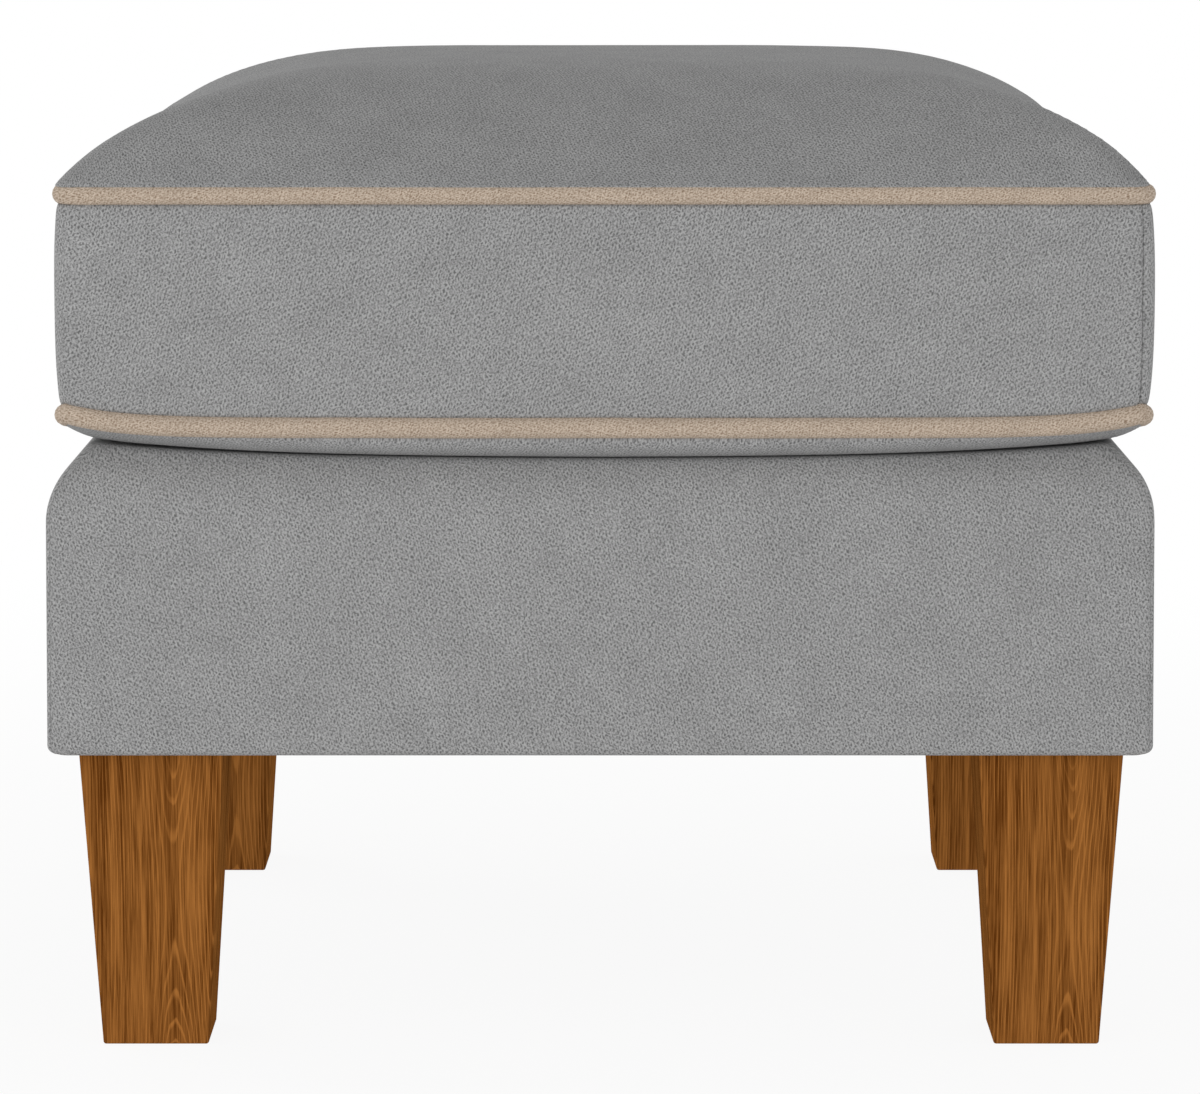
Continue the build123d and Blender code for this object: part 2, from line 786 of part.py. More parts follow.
# Zip slider, closed, at the end of the chain towards +X: a plate over the chain,
# a flange down each side of it, and a bail that holds the pull tab
slider_place = zip_length / 2 - slider_length / 2 - slider_clearance
slider_inner = chain_width + 2 * slider_clearance
slider_outer = slider_inner + 2 * slider_wall
slider_plane = Plane(
    origin=(slider_place, path_half_y, boxing_middle), x_dir=(-1, 0, 0), z_dir=(0, 1, 0)
)
bail_inner_height = 2 * pull_play + pull_bar
bail_plane = Plane(
    origin=(slider_place, path_half_y + plate_face, boxing_middle), x_dir=(1, 0, 0), z_dir=(0, 0, 1)
)
with BuildPart() as zip_slider:
    with BuildSketch(slider_plane.offset(tape_face + slider_clearance)):
        RectangleRounded(slider_length, slider_outer, slider_corner)
        Rectangle(slider_length, slider_inner, mode=Mode.SUBTRACT)
    extrude(amount=plate_face - tape_face - slider_clearance)
    with BuildSketch(slider_plane.offset(plate_back)):
        RectangleRounded(slider_length, slider_outer, slider_corner)
    extrude(amount=slider_plate_thickness)
    with BuildSketch(bail_plane):
        Rectangle(bail_length, bail_inner_height + bail_wire, align=(Align.CENTER, Align.MIN))
        Rectangle(
            bail_length - 2 * bail_wire,
            bail_inner_height,
            align=(Align.CENTER, Align.MIN),
            mode=Mode.SUBTRACT,
        )
    extrude(amount=bail_thickness / 2, both=True)
write_piece(zip_slider, "zip_slider")

# Pull tab: its end bar lies in the bail, and it lies flat along the chain
pull_axis_face = plate_face + pull_play + pull_bar / 2
with BuildPart() as zip_pull:
    with BuildSketch(slider_plane.offset(pull_axis_face - pull_bar / 2)):
        with Locations((-pull_bar / 2, 0)):
            Rectangle(pull_length, pull_width, align=(Align.MIN, Align.CENTER))
        with Locations((pull_bar / 2, 0)):
            Rectangle(
                pull_eye - pull_bar / 2,
                bail_thickness + 2 * pull_play,
                align=(Align.MIN, Align.CENTER),
                mode=Mode.SUBTRACT,
            )
    extrude(amount=pull_bar)
    tab_end = zip_pull.edges().filter_by(Axis.Y).group_by(Axis.X)[0]
    fillet(tab_end, pull_corner)
write_piece(zip_pull, "zip_pull")
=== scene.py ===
# %% [markdown]
# An upholstered footstool with a loose box cushion.
# A padded base stands on four tapered wooden legs. On it lies a cushion with a
# high crown, and beige piping runs along its upper and lower seams. We start from
# the measured solids, which never move, and dress them with cloth, piping, thread
# and wood grain. Everything is in metres, with the front towards -Y.

# %% Load the measured solids
from math import cos, pi, radians, sin, tan

import bpy
import numpy as np
from mathutils import Matrix, Vector, noise


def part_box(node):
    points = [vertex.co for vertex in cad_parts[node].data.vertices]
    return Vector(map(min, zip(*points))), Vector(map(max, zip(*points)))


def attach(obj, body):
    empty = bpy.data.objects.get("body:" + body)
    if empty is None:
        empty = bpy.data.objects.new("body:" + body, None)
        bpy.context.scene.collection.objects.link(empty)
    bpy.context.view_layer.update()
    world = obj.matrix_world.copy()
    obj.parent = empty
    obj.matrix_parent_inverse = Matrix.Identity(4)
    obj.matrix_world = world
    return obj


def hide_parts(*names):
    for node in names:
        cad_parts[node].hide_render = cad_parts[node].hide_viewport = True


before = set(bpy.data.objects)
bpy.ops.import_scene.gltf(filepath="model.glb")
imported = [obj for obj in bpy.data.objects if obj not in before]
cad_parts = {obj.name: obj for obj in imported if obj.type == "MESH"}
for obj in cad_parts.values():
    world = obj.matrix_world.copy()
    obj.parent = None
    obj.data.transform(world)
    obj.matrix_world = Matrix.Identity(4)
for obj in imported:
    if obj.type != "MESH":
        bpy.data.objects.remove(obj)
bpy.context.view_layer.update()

mm = 0.001
tiny = 1e-9
print("solids loaded:", len(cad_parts))

# %% [markdown]
# The camera stands where the photographer stood, a little above the cushion and
# straight in front. A long lens keeps the sides nearly upright, as in the photo.

# %% Camera
degrees_down = 7.69
camera_data = bpy.data.cameras.new("photo_camera")
camera_data.sensor_width = 36.0
camera_data.lens = 156.8
camera = bpy.data.objects.new("photo_camera", camera_data)
camera.location = (-0.6 * mm, -2.824, 0.600)
camera.rotation_euler = (radians(90 - degrees_down), 0, 0)
bpy.context.scene.collection.objects.link(camera)
bpy.context.scene.camera = camera
bpy.context.scene.view_settings.view_transform = "Standard"
print("camera distance", round(camera.location.length, 3))

# %% [markdown]
# A shader is a small network of nodes. These helpers keep the recipes below short:
# `place` puts a node in a network and fills or links its inputs, and `maths` is a
# single sum.


# %% Helpers for nodes and sums
def fill(tree, node, inputs):
    """Give a node's inputs their values, or link them to other nodes' outputs."""
    for name, value in inputs.items():
        if isinstance(value, bpy.types.NodeSocket):
            tree.links.new(value, node.inputs[name])
        else:
            node.inputs[name].default_value = value


def place(tree, kind, inputs=None, **settings):
    """A node with its settings and its filled inputs."""
    node = tree.nodes.new(kind)
    for name, value in settings.items():
        setattr(node, name, value)
    fill(tree, node, inputs or {})
    return node


def maths(tree, operation, first, second=0.0, third=0.0):
    """One sum on numbers."""
    inputs = {0: first, 1: second, 2: third}
    return place(tree, "ShaderNodeMath", inputs, operation=operation).outputs[0]


def vector_maths(tree, operation, first, second=(0, 0, 0), third=(0, 0, 0)):
    """One sum on vectors."""
    inputs = {0: first, 1: second, 2: third}
    return place(tree, "ShaderNodeVectorMath", inputs, operation=operation).outputs[0]


def measure(tree, operation, first, second=(0, 0, 0)):
    """One number worked out from vectors, such as a length."""
    inputs = {0: first, 1: second}
    return place(tree, "ShaderNodeVectorMath", inputs, operation=operation).outputs["Value"]


# %% [markdown]
# Most finishes mix two colours, and what mixes them is noise: cloudy patches of a
# chosen size, stretched along the grain or made soft or sharp by a ramp.


# %% Helpers for colours and noise
def blend_colours(tree, share, first, second, way="MIX"):
    """Two colours mixed by a share from 0 to 1."""
    node = place(tree, "ShaderNodeMix", data_type="RGBA", blend_type=way)
    fill(tree, node, {0: share, 6: first, 7: second})
    return node.outputs[2]


def ramp(tree, value, low, high, to_low=0.0, to_high=1.0):
    """A value brought smoothly from one range to another."""
    ends = {"Value": value, "From Min": low, "From Max": high, "To Min": to_low, "To Max": to_high}
    return place(tree, "ShaderNodeMapRange", ends, interpolation_type="SMOOTHSTEP").outputs[0]


def clamped(tree, value):
    """A value kept between 0 and 1."""
    return place(tree, "ShaderNodeClamp", {"Value": value}).outputs[0]


def clouds(tree, where, size, detail=2.0, roughness=0.5, output="Fac"):
    """Cloudy noise, whose clouds are about `size` metres across."""
    values = {"Vector": where, "Scale": 1 / size, "Detail": detail, "Roughness": roughness}
    return place(tree, "ShaderNodeTexNoise", values).outputs[output]


def around_nought(tree, share):
    """A share from 0 to 1, moved to lie as much below nought as above it."""
    return maths(tree, "SUBTRACT", share, 0.5)


def stretched(tree, where, *scale):
    """The same place, with each direction scaled."""
    return place(tree, "ShaderNodeMapping", {"Vector": where, "Scale": scale}).outputs[0]


# %% [markdown]
# Several fabrics share one weave, and several woods share one grain. So every such
# effect is a node group, which `recipe` starts and `finish_from` puts in a material
# with that material's own values. A pattern also needs to know where it is: on the
# whole object, or on the flat cloth, a place that each cloth mesh carries with it.

# %% Helpers for groups and materials
bump_depth = 0.3 * mm


def recipe(name, inputs, outputs):
    """A new node group with named inputs and outputs."""
    tree = bpy.data.node_groups.new(name, "ShaderNodeTree")
    for label, value in inputs.items():
        kind = "Vector" if value is None else "Color" if isinstance(value, tuple) else "Float"
        socket = tree.interface.new_socket(label, in_out="INPUT", socket_type="NodeSocket" + kind)
        if value is not None:
            socket.default_value = value
    for label in outputs:
        kind = "Color" if label == "Colour" else "Float"
        tree.interface.new_socket(label, in_out="OUTPUT", socket_type="NodeSocket" + kind)
    return tree, tree.nodes.new("NodeGroupInput").outputs, tree.nodes.new("NodeGroupOutput")


def colour(red, green, blue):
    """A colour on the usual scale of 0 to 255, as the linear light that shaders use."""
    shares = [(part / 255 + 0.055) / 1.055 for part in (red, green, blue)]
    return (*[share**2.4 for share in shares], 1.0)


def finish_from(name, group, where_of, values, roughness, bump, **shader_values):
    """A material: one shared effect with its own values, in a Principled shader with its own."""
    material = bpy.data.materials.new(name)
    material.use_nodes = True
    tree = material.node_tree
    shader = tree.nodes["Principled BSDF"]
    shader.inputs["Roughness"].default_value = roughness
    for label, value in shader_values.items():
        shader.inputs[label.replace("_", " ")].default_value = value
    effect = place(tree, "ShaderNodeGroup", node_tree=group)
    fill(tree, effect, values | {"Place": where_of(tree)})
    tree.links.new(effect.outputs["Colour"], shader.inputs["Base Color"])
    raised = {"Height": effect.outputs["Height"], "Strength": bump, "Distance": bump_depth}
    tree.links.new(place(tree, "ShaderNodeBump", raised).outputs[0], shader.inputs["Normal"])
    if "Roughness" in effect.outputs:
        tree.links.new(effect.outputs["Roughness"], shader.inputs["Roughness"])
    return material


def place_on_object(tree):
    """The place on the whole footstool, in metres."""
    return place(tree, "ShaderNodeTexCoord").outputs["Object"]


def place_on_cloth(tree):
    """The place on the flat cloth, in metres, which each cloth mesh carries as an attribute."""
    return place(tree, "ShaderNodeAttribute", attribute_name="cloth").outputs["Vector"]


# %% [markdown]
# The fabric is a soft woven cloth. Two families of yarns cross on a slant, 2 mm
# apart, and where their grooves meet there is a small dark gap. Close up the gaps
# stand in slanting rows, and from a step away they blur into a lively grey with
# a cloudy mottling. Three crossing waves give such a grid of gaps: one wave for
# each family of yarns, and one for the twill line that both make together.
# The place is first shifted a little by noise, because no yarn lies quite straight.
# The group works on the place on the flat cloth, so that the weave follows the
# cloth round every curve.

# %% Woven cloth, as a shared group
weave, weave_in, weave_out = recipe(
    "woven_cloth",
    {
        "Place": None,
        "Pitch": 1.97 * mm,
        "Speck": 1.0,
        "Mottle": 0.2,
        "Yarn Colour": colour(163, 163, 162),
        "Gap Colour": colour(112, 112, 112),
    },
    ["Colour", "Height"],
)
lay_of_yarns = (-31.4, 63.0)
slow_drift, quick_drift = (8 * mm, 3.4 * mm), (2.5 * mm, 1.7 * mm)
faint_gaps, plain_gaps = 0.05, 0.2


def shifted_by_noise(tree, where, size, amount):
    """The place, moved to and fro across the surface by noise."""
    cloud = clouds(tree, where, size, 2.0, 0.5, "Color")
    half_way = vector_maths(tree, "SUBTRACT", cloud, (0.5, 0.5, 0.5))
    return vector_maths(tree, "MULTIPLY_ADD", half_way, (amount, amount, 0), where)


def yarn_wave(tree, where, *angles):
    """A wave across the yarns; with two angles, the twill line of both."""
    across = (sum(cos(radians(a)) for a in angles), sum(sin(radians(a)) for a in angles), 0)
    return maths(tree, "COSINE", measure(tree, "DOT_PRODUCT", where, across))


loose = shifted_by_noise(weave, weave_in["Place"], *slow_drift)
loose = shifted_by_noise(weave, loose, *quick_drift)
turns = maths(weave, "DIVIDE", 2 * pi, weave_in["Pitch"])
phase = place(weave, "ShaderNodeVectorMath", {0: loose, "Scale": turns}, operation="SCALE").outputs[0]
first_wave = yarn_wave(weave, phase, lay_of_yarns[0])
second_wave = yarn_wave(weave, phase, lay_of_yarns[1])
twill_wave = yarn_wave(weave, phase, *lay_of_yarns)
gaps = maths(weave, "ADD", first_wave, maths(weave, "MULTIPLY_ADD", twill_wave, 1.5, second_wave))
patchy = clouds(weave, weave_in["Place"], 4 * mm, 2.0)
gaps = maths(weave, "MULTIPLY", gaps, ramp(weave, patchy, 0.3, 0.7, faint_gaps, plain_gaps))
print("yarns laid at", lay_of_yarns, "degrees")


# %% [markdown]
# Waves alone look printed. Cloth also shows its fibres: short light and dark strokes
# along the yarns, which are noise in a place that is turned to each lay of the yarns
# and stretched along it. Over it all lies a cloudy mottling, a gentle change of
# brightness in large and in small clouds.

# %% Woven cloth: fibres, colours and mottling
fibre_size, fibre_length_share, fibre_strength = 0.62 * mm, 2.6, 1.8


def fibres_along(tree, where, angle):
    """Noise in short strokes that run along the yarns, above and below nought."""
    turn = {"Vector": where, "Rotation": (0, 0, radians(angle)), "Scale": (1, fibre_length_share, 1)}
    turned = place(tree, "ShaderNodeMapping", turn, vector_type="TEXTURE").outputs[0]
    return around_nought(tree, clouds(tree, turned, fibre_size, 1.0, 0.5))


roughened = gaps
for lay in lay_of_yarns:
    strokes = fibres_along(weave, weave_in["Place"], lay)
    roughened = maths(weave, "MULTIPLY_ADD", strokes, fibre_strength, roughened)
gap_share = clamped(weave, maths(weave, "MULTIPLY_ADD", roughened, weave_in["Speck"], 0.42))
yarns = blend_colours(weave, gap_share, weave_in["Yarn Colour"], weave_in["Gap Colour"])
large_clouds = clouds(weave, weave_in["Place"], 38 * mm, 2.0, 0.6)
small_clouds = clouds(weave, weave_in["Place"], 10 * mm, 2.0, 0.5)
cloud = maths(weave, "MULTIPLY_ADD", small_clouds, 0.5, maths(weave, "MULTIPLY", large_clouds, 0.7))
brighter = maths(weave, "MULTIPLY_ADD", maths(weave, "SUBTRACT", cloud, 0.6), weave_in["Mottle"], 1.0)
brightness = place(weave, "ShaderNodeCombineColor", {0: brighter, 1: brighter, 2: brighter}).outputs[0]
mottled = blend_colours(weave, 1.0, yarns, brightness, "MULTIPLY")
fill(weave, weave_out, {"Colour": mottled, "Height": maths(weave, "SUBTRACT", 1.0, gap_share)})
print("woven cloth group:", len(weave.nodes), "nodes")

# %% [markdown]
# One weave makes six fabrics, each with the colour of its yarns, the darker colour
# of its gaps and its own pitch, from the coarse webbing to the sewing thread. The
# two that show have a faint sheen.


# %% Fabrics made from the group
def fabric(name, yarn, gap, values, roughness, bump, where_of=place_on_cloth, **shader_values):
    """A fabric of the weave: the colours of its yarns and gaps, and its own values."""
    values = {"Yarn Colour": colour(*yarn), "Gap Colour": colour(*gap)} | values
    return finish_from(name, weave, where_of, values, roughness, bump, **shader_values)


soft = {"Sheen_Weight": 0.06, "Sheen_Roughness": 0.5, "Specular_IOR_Level": 0.06}
grey_cloth = fabric("grey_cloth", (173, 173, 173), (105, 105, 105), {"Mottle": 0.36}, 0.92, 0.3, **soft)
beige_values = {"Pitch": 1.6 * mm, "Speck": 0.95, "Mottle": 0.3}
beige_cloth = fabric("beige_cloth", (205, 189, 172), (143, 123, 104), beige_values, 0.9, 0.25, **soft)
lining_cloth = fabric("lining_cloth", (134, 134, 134), (96, 96, 96), {"Pitch": 1.1 * mm}, 0.85, 0.2)
tape_cloth = fabric("tape_cloth", (132, 132, 132), (84, 84, 84), {"Pitch": 0.9 * mm}, 0.8, 0.3)
web_cloth = fabric("web_cloth", (78, 76, 72), (34, 33, 32), {"Pitch": 2.6 * mm}, 0.85, 0.5)
thread = fabric("thread", (150, 150, 149), (104, 104, 104), {"Pitch": 0.5 * mm}, 0.6, 0.3, place_on_object)
print("fabrics from one group:", weave.users)

# %% [markdown]
# The legs are solid wood with a warm brown stain and a dull, oiled surface. Growth
# rings are nested tubes round the heart of the tree, so the recipe measures the
# distance from a line that stands for the heart. In a leg that line lies just behind
# the front face and bows back in the middle, so the face cuts the rings in the nested
# points that the photo shows above and below, with straight lines beside them. Slow
# noise makes the rings unruly and lets them come and go.

# %% Wood grain, as a shared group
wood, wood_in, wood_out = recipe(
    "wood_grain",
    {
        "Place": None,
        "Ring Width": 1.7 * mm,
        "Bow": 0.0,
        "Light Colour": colour(166, 110, 56),
        "Dark Colour": colour(96, 52, 14),
    },
    ["Colour", "Height", "Roughness"],
)
bow_middle, bow_reach = 64 * mm, 90 * mm
slow_upwards, fine_upwards, blotches_upwards, pores_upwards = 0.06, 0.02, 0.35, 3
ring_drift = (11 * mm, 3.5 * mm)
up = place(wood, "ShaderNodeSeparateXYZ", {0: wood_in["Place"]}).outputs[2]
from_bow = maths(wood, "DIVIDE", maths(wood, "SUBTRACT", up, bow_middle), bow_reach)
bowed = maths(wood, "MULTIPLY", maths(wood, "MULTIPLY", from_bow, from_bow), wood_in["Bow"])
bowed = place(wood, "ShaderNodeCombineXYZ", {1: bowed}).outputs[0]
slow_place = stretched(wood, vector_maths(wood, "ADD", wood_in["Place"], bowed), 1, 1, slow_upwards)
unruly = shifted_by_noise(wood, slow_place, *ring_drift)
from_heart = measure(wood, "LENGTH", vector_maths(wood, "MULTIPLY", unruly, (1, 1, 0)))
ring_phase = maths(wood, "FRACT", maths(wood, "DIVIDE", from_heart, wood_in["Ring Width"]))
line_start = ramp(wood, ring_phase, 0.6, 0.86)
pale_line = maths(wood, "MULTIPLY", line_start, ramp(wood, ring_phase, 0.88, 1.0, 1.0, 0.0))
ring_strength = ramp(wood, clouds(wood, slow_place, 14 * mm), 0.35, 0.65, 0.2, 0.6)
pale_line = maths(wood, "MULTIPLY", pale_line, ring_strength)
print("rings of the wood:", len(wood.nodes), "nodes")

# %% [markdown]
# Fine streaks, slow bands and pores run along the grain. Their noise is read at the
# distance sideways, along both level directions at once, and at the height made
# fifty times shorter, so that they are upright lines on every side of a leg.
# Blotches of stain lie over them. The sum of all parts says how dark a spot is.

# %% Wood grain: streaks, bands, pores and colours
sideways = measure(wood, "DOT_PRODUCT", wood_in["Place"], (1, 1, 0))
fine_height = maths(wood, "MULTIPLY", up, fine_upwards)
fine_place = place(wood, "ShaderNodeCombineXYZ", {0: sideways, 2: fine_height}).outputs[0]
fine_streaks = around_nought(wood, clouds(wood, fine_place, 0.7 * mm, 2.0, 0.6))
bands = around_nought(wood, clouds(wood, fine_place, 5 * mm, 2.0))
blotch_place = stretched(wood, wood_in["Place"], 1, 1, blotches_upwards)
blotches = around_nought(wood, clouds(wood, blotch_place, 16 * mm))
pore_place = stretched(wood, fine_place, 1, 1, pores_upwards)
pores = ramp(wood, clouds(wood, pore_place, 0.5 * mm, 1.0), 0.62, 0.72)
dark_share = 0.55
for part, strength in ((fine_streaks, 2.0), (bands, 1.5), (blotches, 0.7), (pores, 0.16)):
    dark_share = maths(wood, "MULTIPLY_ADD", part, strength, dark_share)
dark_share = clamped(wood, maths(wood, "SUBTRACT", dark_share, pale_line))
grain_colour = blend_colours(wood, dark_share, wood_in["Light Colour"], wood_in["Dark Colour"])
grain = {"Colour": grain_colour, "Height": maths(wood, "SUBTRACT", 1.0, dark_share)}
fill(wood, wood_out, grain | {"Roughness": ramp(wood, dark_share, 0.0, 1.0, 0.46, 0.6)})
print("wood group:", len(wood.nodes), "nodes")

# %% [markdown]
# Each leg measures its grain from the heart of its own tree, 10 mm behind the front
# face and a little right of the middle. A leg tapers, so the depth is spread to the
# width of its top. The sign of the place says which leg it is and moves the figure
# up or down, so that no two legs are cut alike. The rails and blocks are pale pine,
# whose grain lies along the plank.

# %% Woods made from the group
leg_low, leg_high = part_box("leg_front_left")
leg_centre = -(leg_low.x + leg_high.x) / 2
leg_half_top = (leg_high.x - leg_low.x) / 2
leg_half_foot = 26.5 * mm
leg_taper = (leg_half_top - leg_half_foot) / leg_high.z
heart_behind_face, heart_to_right = 10 * mm, 10.4 * mm
figure_up, figure_apart = 9 * mm, 7 * mm


def place_in_leg(tree):
    """The place measured from the heart of the tree, which stands behind the front face."""
    whole = place_on_object(tree)
    sign = vector_maths(tree, "SIGN", whole)
    own = vector_maths(tree, "MULTIPLY_ADD", sign, (-leg_centre, -leg_centre, 0), whole)
    across, deep, up = place(tree, "ShaderNodeSeparateXYZ", {0: own}).outputs
    which_leg = measure(tree, "DOT_PRODUCT", sign, (1, 2.3, 0))
    up = maths(tree, "MULTIPLY_ADD", which_leg, figure_apart, maths(tree, "ADD", up, figure_up))
    half = maths(tree, "MULTIPLY_ADD", up, leg_taper, leg_half_foot)
    widened = maths(tree, "DIVIDE", leg_half_top, half)
    deep = maths(tree, "MULTIPLY_ADD", deep, widened, leg_half_top - heart_behind_face)
    across = maths(tree, "SUBTRACT", across, heart_to_right)
    return place(tree, "ShaderNodeCombineXYZ", {0: across, 1: deep, 2: up}).outputs[0]


def turned_place(tree, rotation):
    """The place, turned so that its upward direction lies along a plank."""
    turn = {"Vector": place_on_object(tree), "Rotation": rotation}
    return place(tree, "ShaderNodeMapping", turn).outputs[0]


def along_x(tree):
    """The place for planks whose grain runs from left to right."""
    return turned_place(tree, (0, radians(90), 0))


def along_y(tree):
    """The place for planks whose grain runs from front to back."""
    return turned_place(tree, (radians(90), 0, 0))


stain = {"Light Colour": colour(168, 109, 52), "Dark Colour": colour(92, 50, 14), "Bow": 9 * mm}
stained_wood = finish_from("stained_wood", wood, place_in_leg, stain, 0.5, 0.1, Specular_IOR_Level=0.0)
pine = {"Light Colour": colour(222, 193, 146), "Dark Colour": colour(176, 132, 80), "Ring Width": 4.2 * mm}
pine_x = finish_from("pine_x", wood, along_x, pine, 0.7, 0.15)
pine_y = finish_from("pine_y", wood, along_y, pine, 0.7, 0.15)
print("woods from one group:", wood.users)

# %% [markdown]
# Foam, fibre, felt and the black cloth underneath have no yarns. They are lumpy or
# flecked, so one group makes them all: cells for the bubbles of foam, noise for the
# tangle of fibres, each at its own size.

# %% Fillings, as a shared group
filling, filling_in, filling_out = recipe(
    "filling",
    {
        "Place": None,
        "Cell Size": 1.5 * mm,
        "Tangle": 0.5,
        "High Colour": colour(230, 215, 170),
        "Low Colour": colour(190, 170, 120),
    },
    ["Colour", "Height"],
)
cells_wide = maths(filling, "DIVIDE", 1.0, filling_in["Cell Size"])
cell_inputs = {"Vector": filling_in["Place"], "Scale": cells_wide}
bubble = place(filling, "ShaderNodeTexVoronoi", cell_inputs).outputs["Distance"]
tangle_inputs = {"Vector": filling_in["Place"], "Scale": maths(filling, "MULTIPLY", cells_wide, 0.6)}
tangle_inputs |= {"Detail": 4.0, "Roughness": 0.75, "Distortion": 1.5}
tangle = place(filling, "ShaderNodeTexNoise", tangle_inputs).outputs["Fac"]
lumps = place(filling, "ShaderNodeMix", {0: filling_in["Tangle"], 2: bubble, 3: tangle}).outputs[0]
lumps = clamped(filling, maths(filling, "MULTIPLY_ADD", lumps, 1.8, -0.35))
filling_colour = blend_colours(filling, lumps, filling_in["Low Colour"], filling_in["High Colour"])
fill(filling, filling_out, {"Colour": filling_colour, "Height": lumps})


def filling_finish(name, high, low, cell_size, tangle_share, roughness=0.95):
    """A filling in its own colours and size."""
    values = {"High Colour": colour(*high), "Low Colour": colour(*low), "Cell Size": cell_size}
    values |= {"Tangle": tangle_share}
    return finish_from(name, filling, place_on_object, values, roughness, 0.5)


foam = filling_finish("foam", (233, 216, 168), (186, 164, 112), 1.6 * mm, 0.2)
fibre = filling_finish("fibre", (240, 240, 236), (198, 198, 194), 4.0 * mm, 1.0)
felt = filling_finish("felt", (150, 148, 146), (92, 96, 104), 2.2 * mm, 0.8)
black_cloth = filling_finish("black_cloth", (52, 52, 53), (30, 30, 31), 1.2 * mm, 0.5, 0.8)
cord_cotton = filling_finish("cord_cotton", (232, 226, 210), (196, 188, 168), 0.8 * mm, 0.9)
print("fillings from one group:", filling.users)

# %% [markdown]
# Screws, bolts and staples are zinc plated steel, and the zip is darker nickel. A
# plated surface is even from afar but has small cloudy stains and fine scratches,
# which change its roughness more than its colour.

# %% Metals, as a shared group
metal, metal_in, metal_out = recipe(
    "plated_metal",
    {
        "Place": None,
        "Stain": 0.5,
        "Clean Colour": colour(200, 200, 198),
        "Stained Colour": colour(150, 150, 150),
    },
    ["Colour", "Height", "Roughness"],
)
stains = ramp(metal, clouds(metal, metal_in["Place"], 3 * mm, 4.0, 0.6), 0.35, 0.7)
stains = maths(metal, "MULTIPLY", stains, metal_in["Stain"])
scratches = clouds(metal, stretched(metal, metal_in["Place"], 1, 8, 1), 1.0 * mm, 2.0)
metal_colour = blend_colours(metal, stains, metal_in["Clean Colour"], metal_in["Stained Colour"])
surface = {"Colour": metal_colour, "Height": scratches}
fill(metal, metal_out, surface | {"Roughness": maths(metal, "MULTIPLY_ADD", stains, 0.3, 0.28)})
zinc = finish_from("zinc", metal, place_on_object, {}, 0.3, 0.05, Metallic=1.0)
nickel_values = {"Clean Colour": colour(150, 149, 146), "Stained Colour": colour(96, 95, 93)}
nickel = finish_from("nickel", metal, place_on_object, nickel_values, 0.3, 0.05, Metallic=1.0)
tooth_values = {"Clean Colour": colour(112, 112, 112), "Stained Colour": colour(78, 78, 78)}
zip_teeth = finish_from("zip_teeth", metal, place_on_object, tooth_values, 0.4, 0.05)
print("metals from one group:", metal.users)

# %% [markdown]
# The wooden and metal solids already have the right shape, so they only get their
# finish. Everything soft is made anew below. A name here stands for every solid that
# starts with it, and the longest name that fits wins, so that the bolts of the legs
# don't turn into wood.

# %% Finishes for the solids that stay
finishes = {
    "leg_": stained_wood,
    "leg_bolts": zinc,
    "leg_inserts": zinc,
    "front_rail": pine_x,
    "rear_rail": pine_x,
    "left_rail": pine_y,
    "right_rail": pine_y,
    "corner_block_": pine_x,
    "rail_screws": zinc,
    "corner_block_screws": zinc,
    "webbing_staples": zinc,
    "cover_staples": zinc,
    "dust_cover_staples": zinc,
    "zip_chain": zip_teeth,
    "zip_stops": nickel,
    "zip_slider": nickel,
    "zip_pull": nickel,
}
for node_name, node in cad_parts.items():
    matches = [start for start in finishes if node_name.startswith(start)]
    if matches:
        node.data.materials.clear()
        node.data.materials.append(finishes[max(matches, key=len)])
print("solids finished")


# %% [markdown]
# Cloth pieces are grids of points, built from a few measured lines. `cloth_mesh`
# turns a grid into a mesh and writes the place on the flat cloth at every corner
# of every face, as the attribute that the weave reads. Written on the corners and
# not on the points, it can start again at a join without smearing.


# %% Helpers for cloth meshes
def piece_from(name, points, faces):
    """A smooth piece from its points and its faces of four corners."""
    mesh = bpy.data.meshes.new(name)
    mesh.from_pydata(points.tolist(), [], faces.tolist())
    mesh.shade_smooth()
    piece = bpy.data.objects.new(name, mesh)
    bpy.context.scene.collection.objects.link(piece)
    return piece


def cloth_mesh(name, points, on_cloth, wrap=(False, False), flip=False):
    """A grid of points (rows, columns, 3) as a piece, with its place on the flat cloth."""
    rows, columns = points.shape[:2]
    face_rows, face_columns = np.arange(rows - (not wrap[0])), np.arange(columns - (not wrap[1]))
    r, c = np.meshgrid(face_rows, face_columns, indexing="ij")
    steps = [(0, 0), (1, 0), (1, 1), (0, 1)] if flip else [(0, 0), (0, 1), (1, 1), (1, 0)]
    corner_rows = np.stack([r.ravel() + dr for dr, _ in steps], 1)
    corner_columns = np.stack([c.ravel() + dc for _, dc in steps], 1)
    corners = (corner_rows % rows) * columns + corner_columns % columns
    piece = piece_from(name, points.reshape(-1, 3), corners)
    flat = np.zeros((corners.size, 3), np.float32)
    flat[:, :2] = on_cloth[corner_rows.ravel(), corner_columns.ravel()]
    place_values = piece.data.attributes.new("cloth", "FLOAT_VECTOR", "CORNER").data
    place_values.foreach_set("vector", flat.ravel())
    return piece


# %% [markdown]
# `dress` says what a piece is: the body it moves with, the solids it stands for and
# its finish. A Solidify modifier gives the sheet the thickness of cloth. In the photo
# the cushion lies a hair to the right of the base, so everything that belongs to it
# is shifted that way.

# %% Helpers that dress a piece
cloth_thickness = 1.2 * mm
cushion_shift = 1.4 * mm


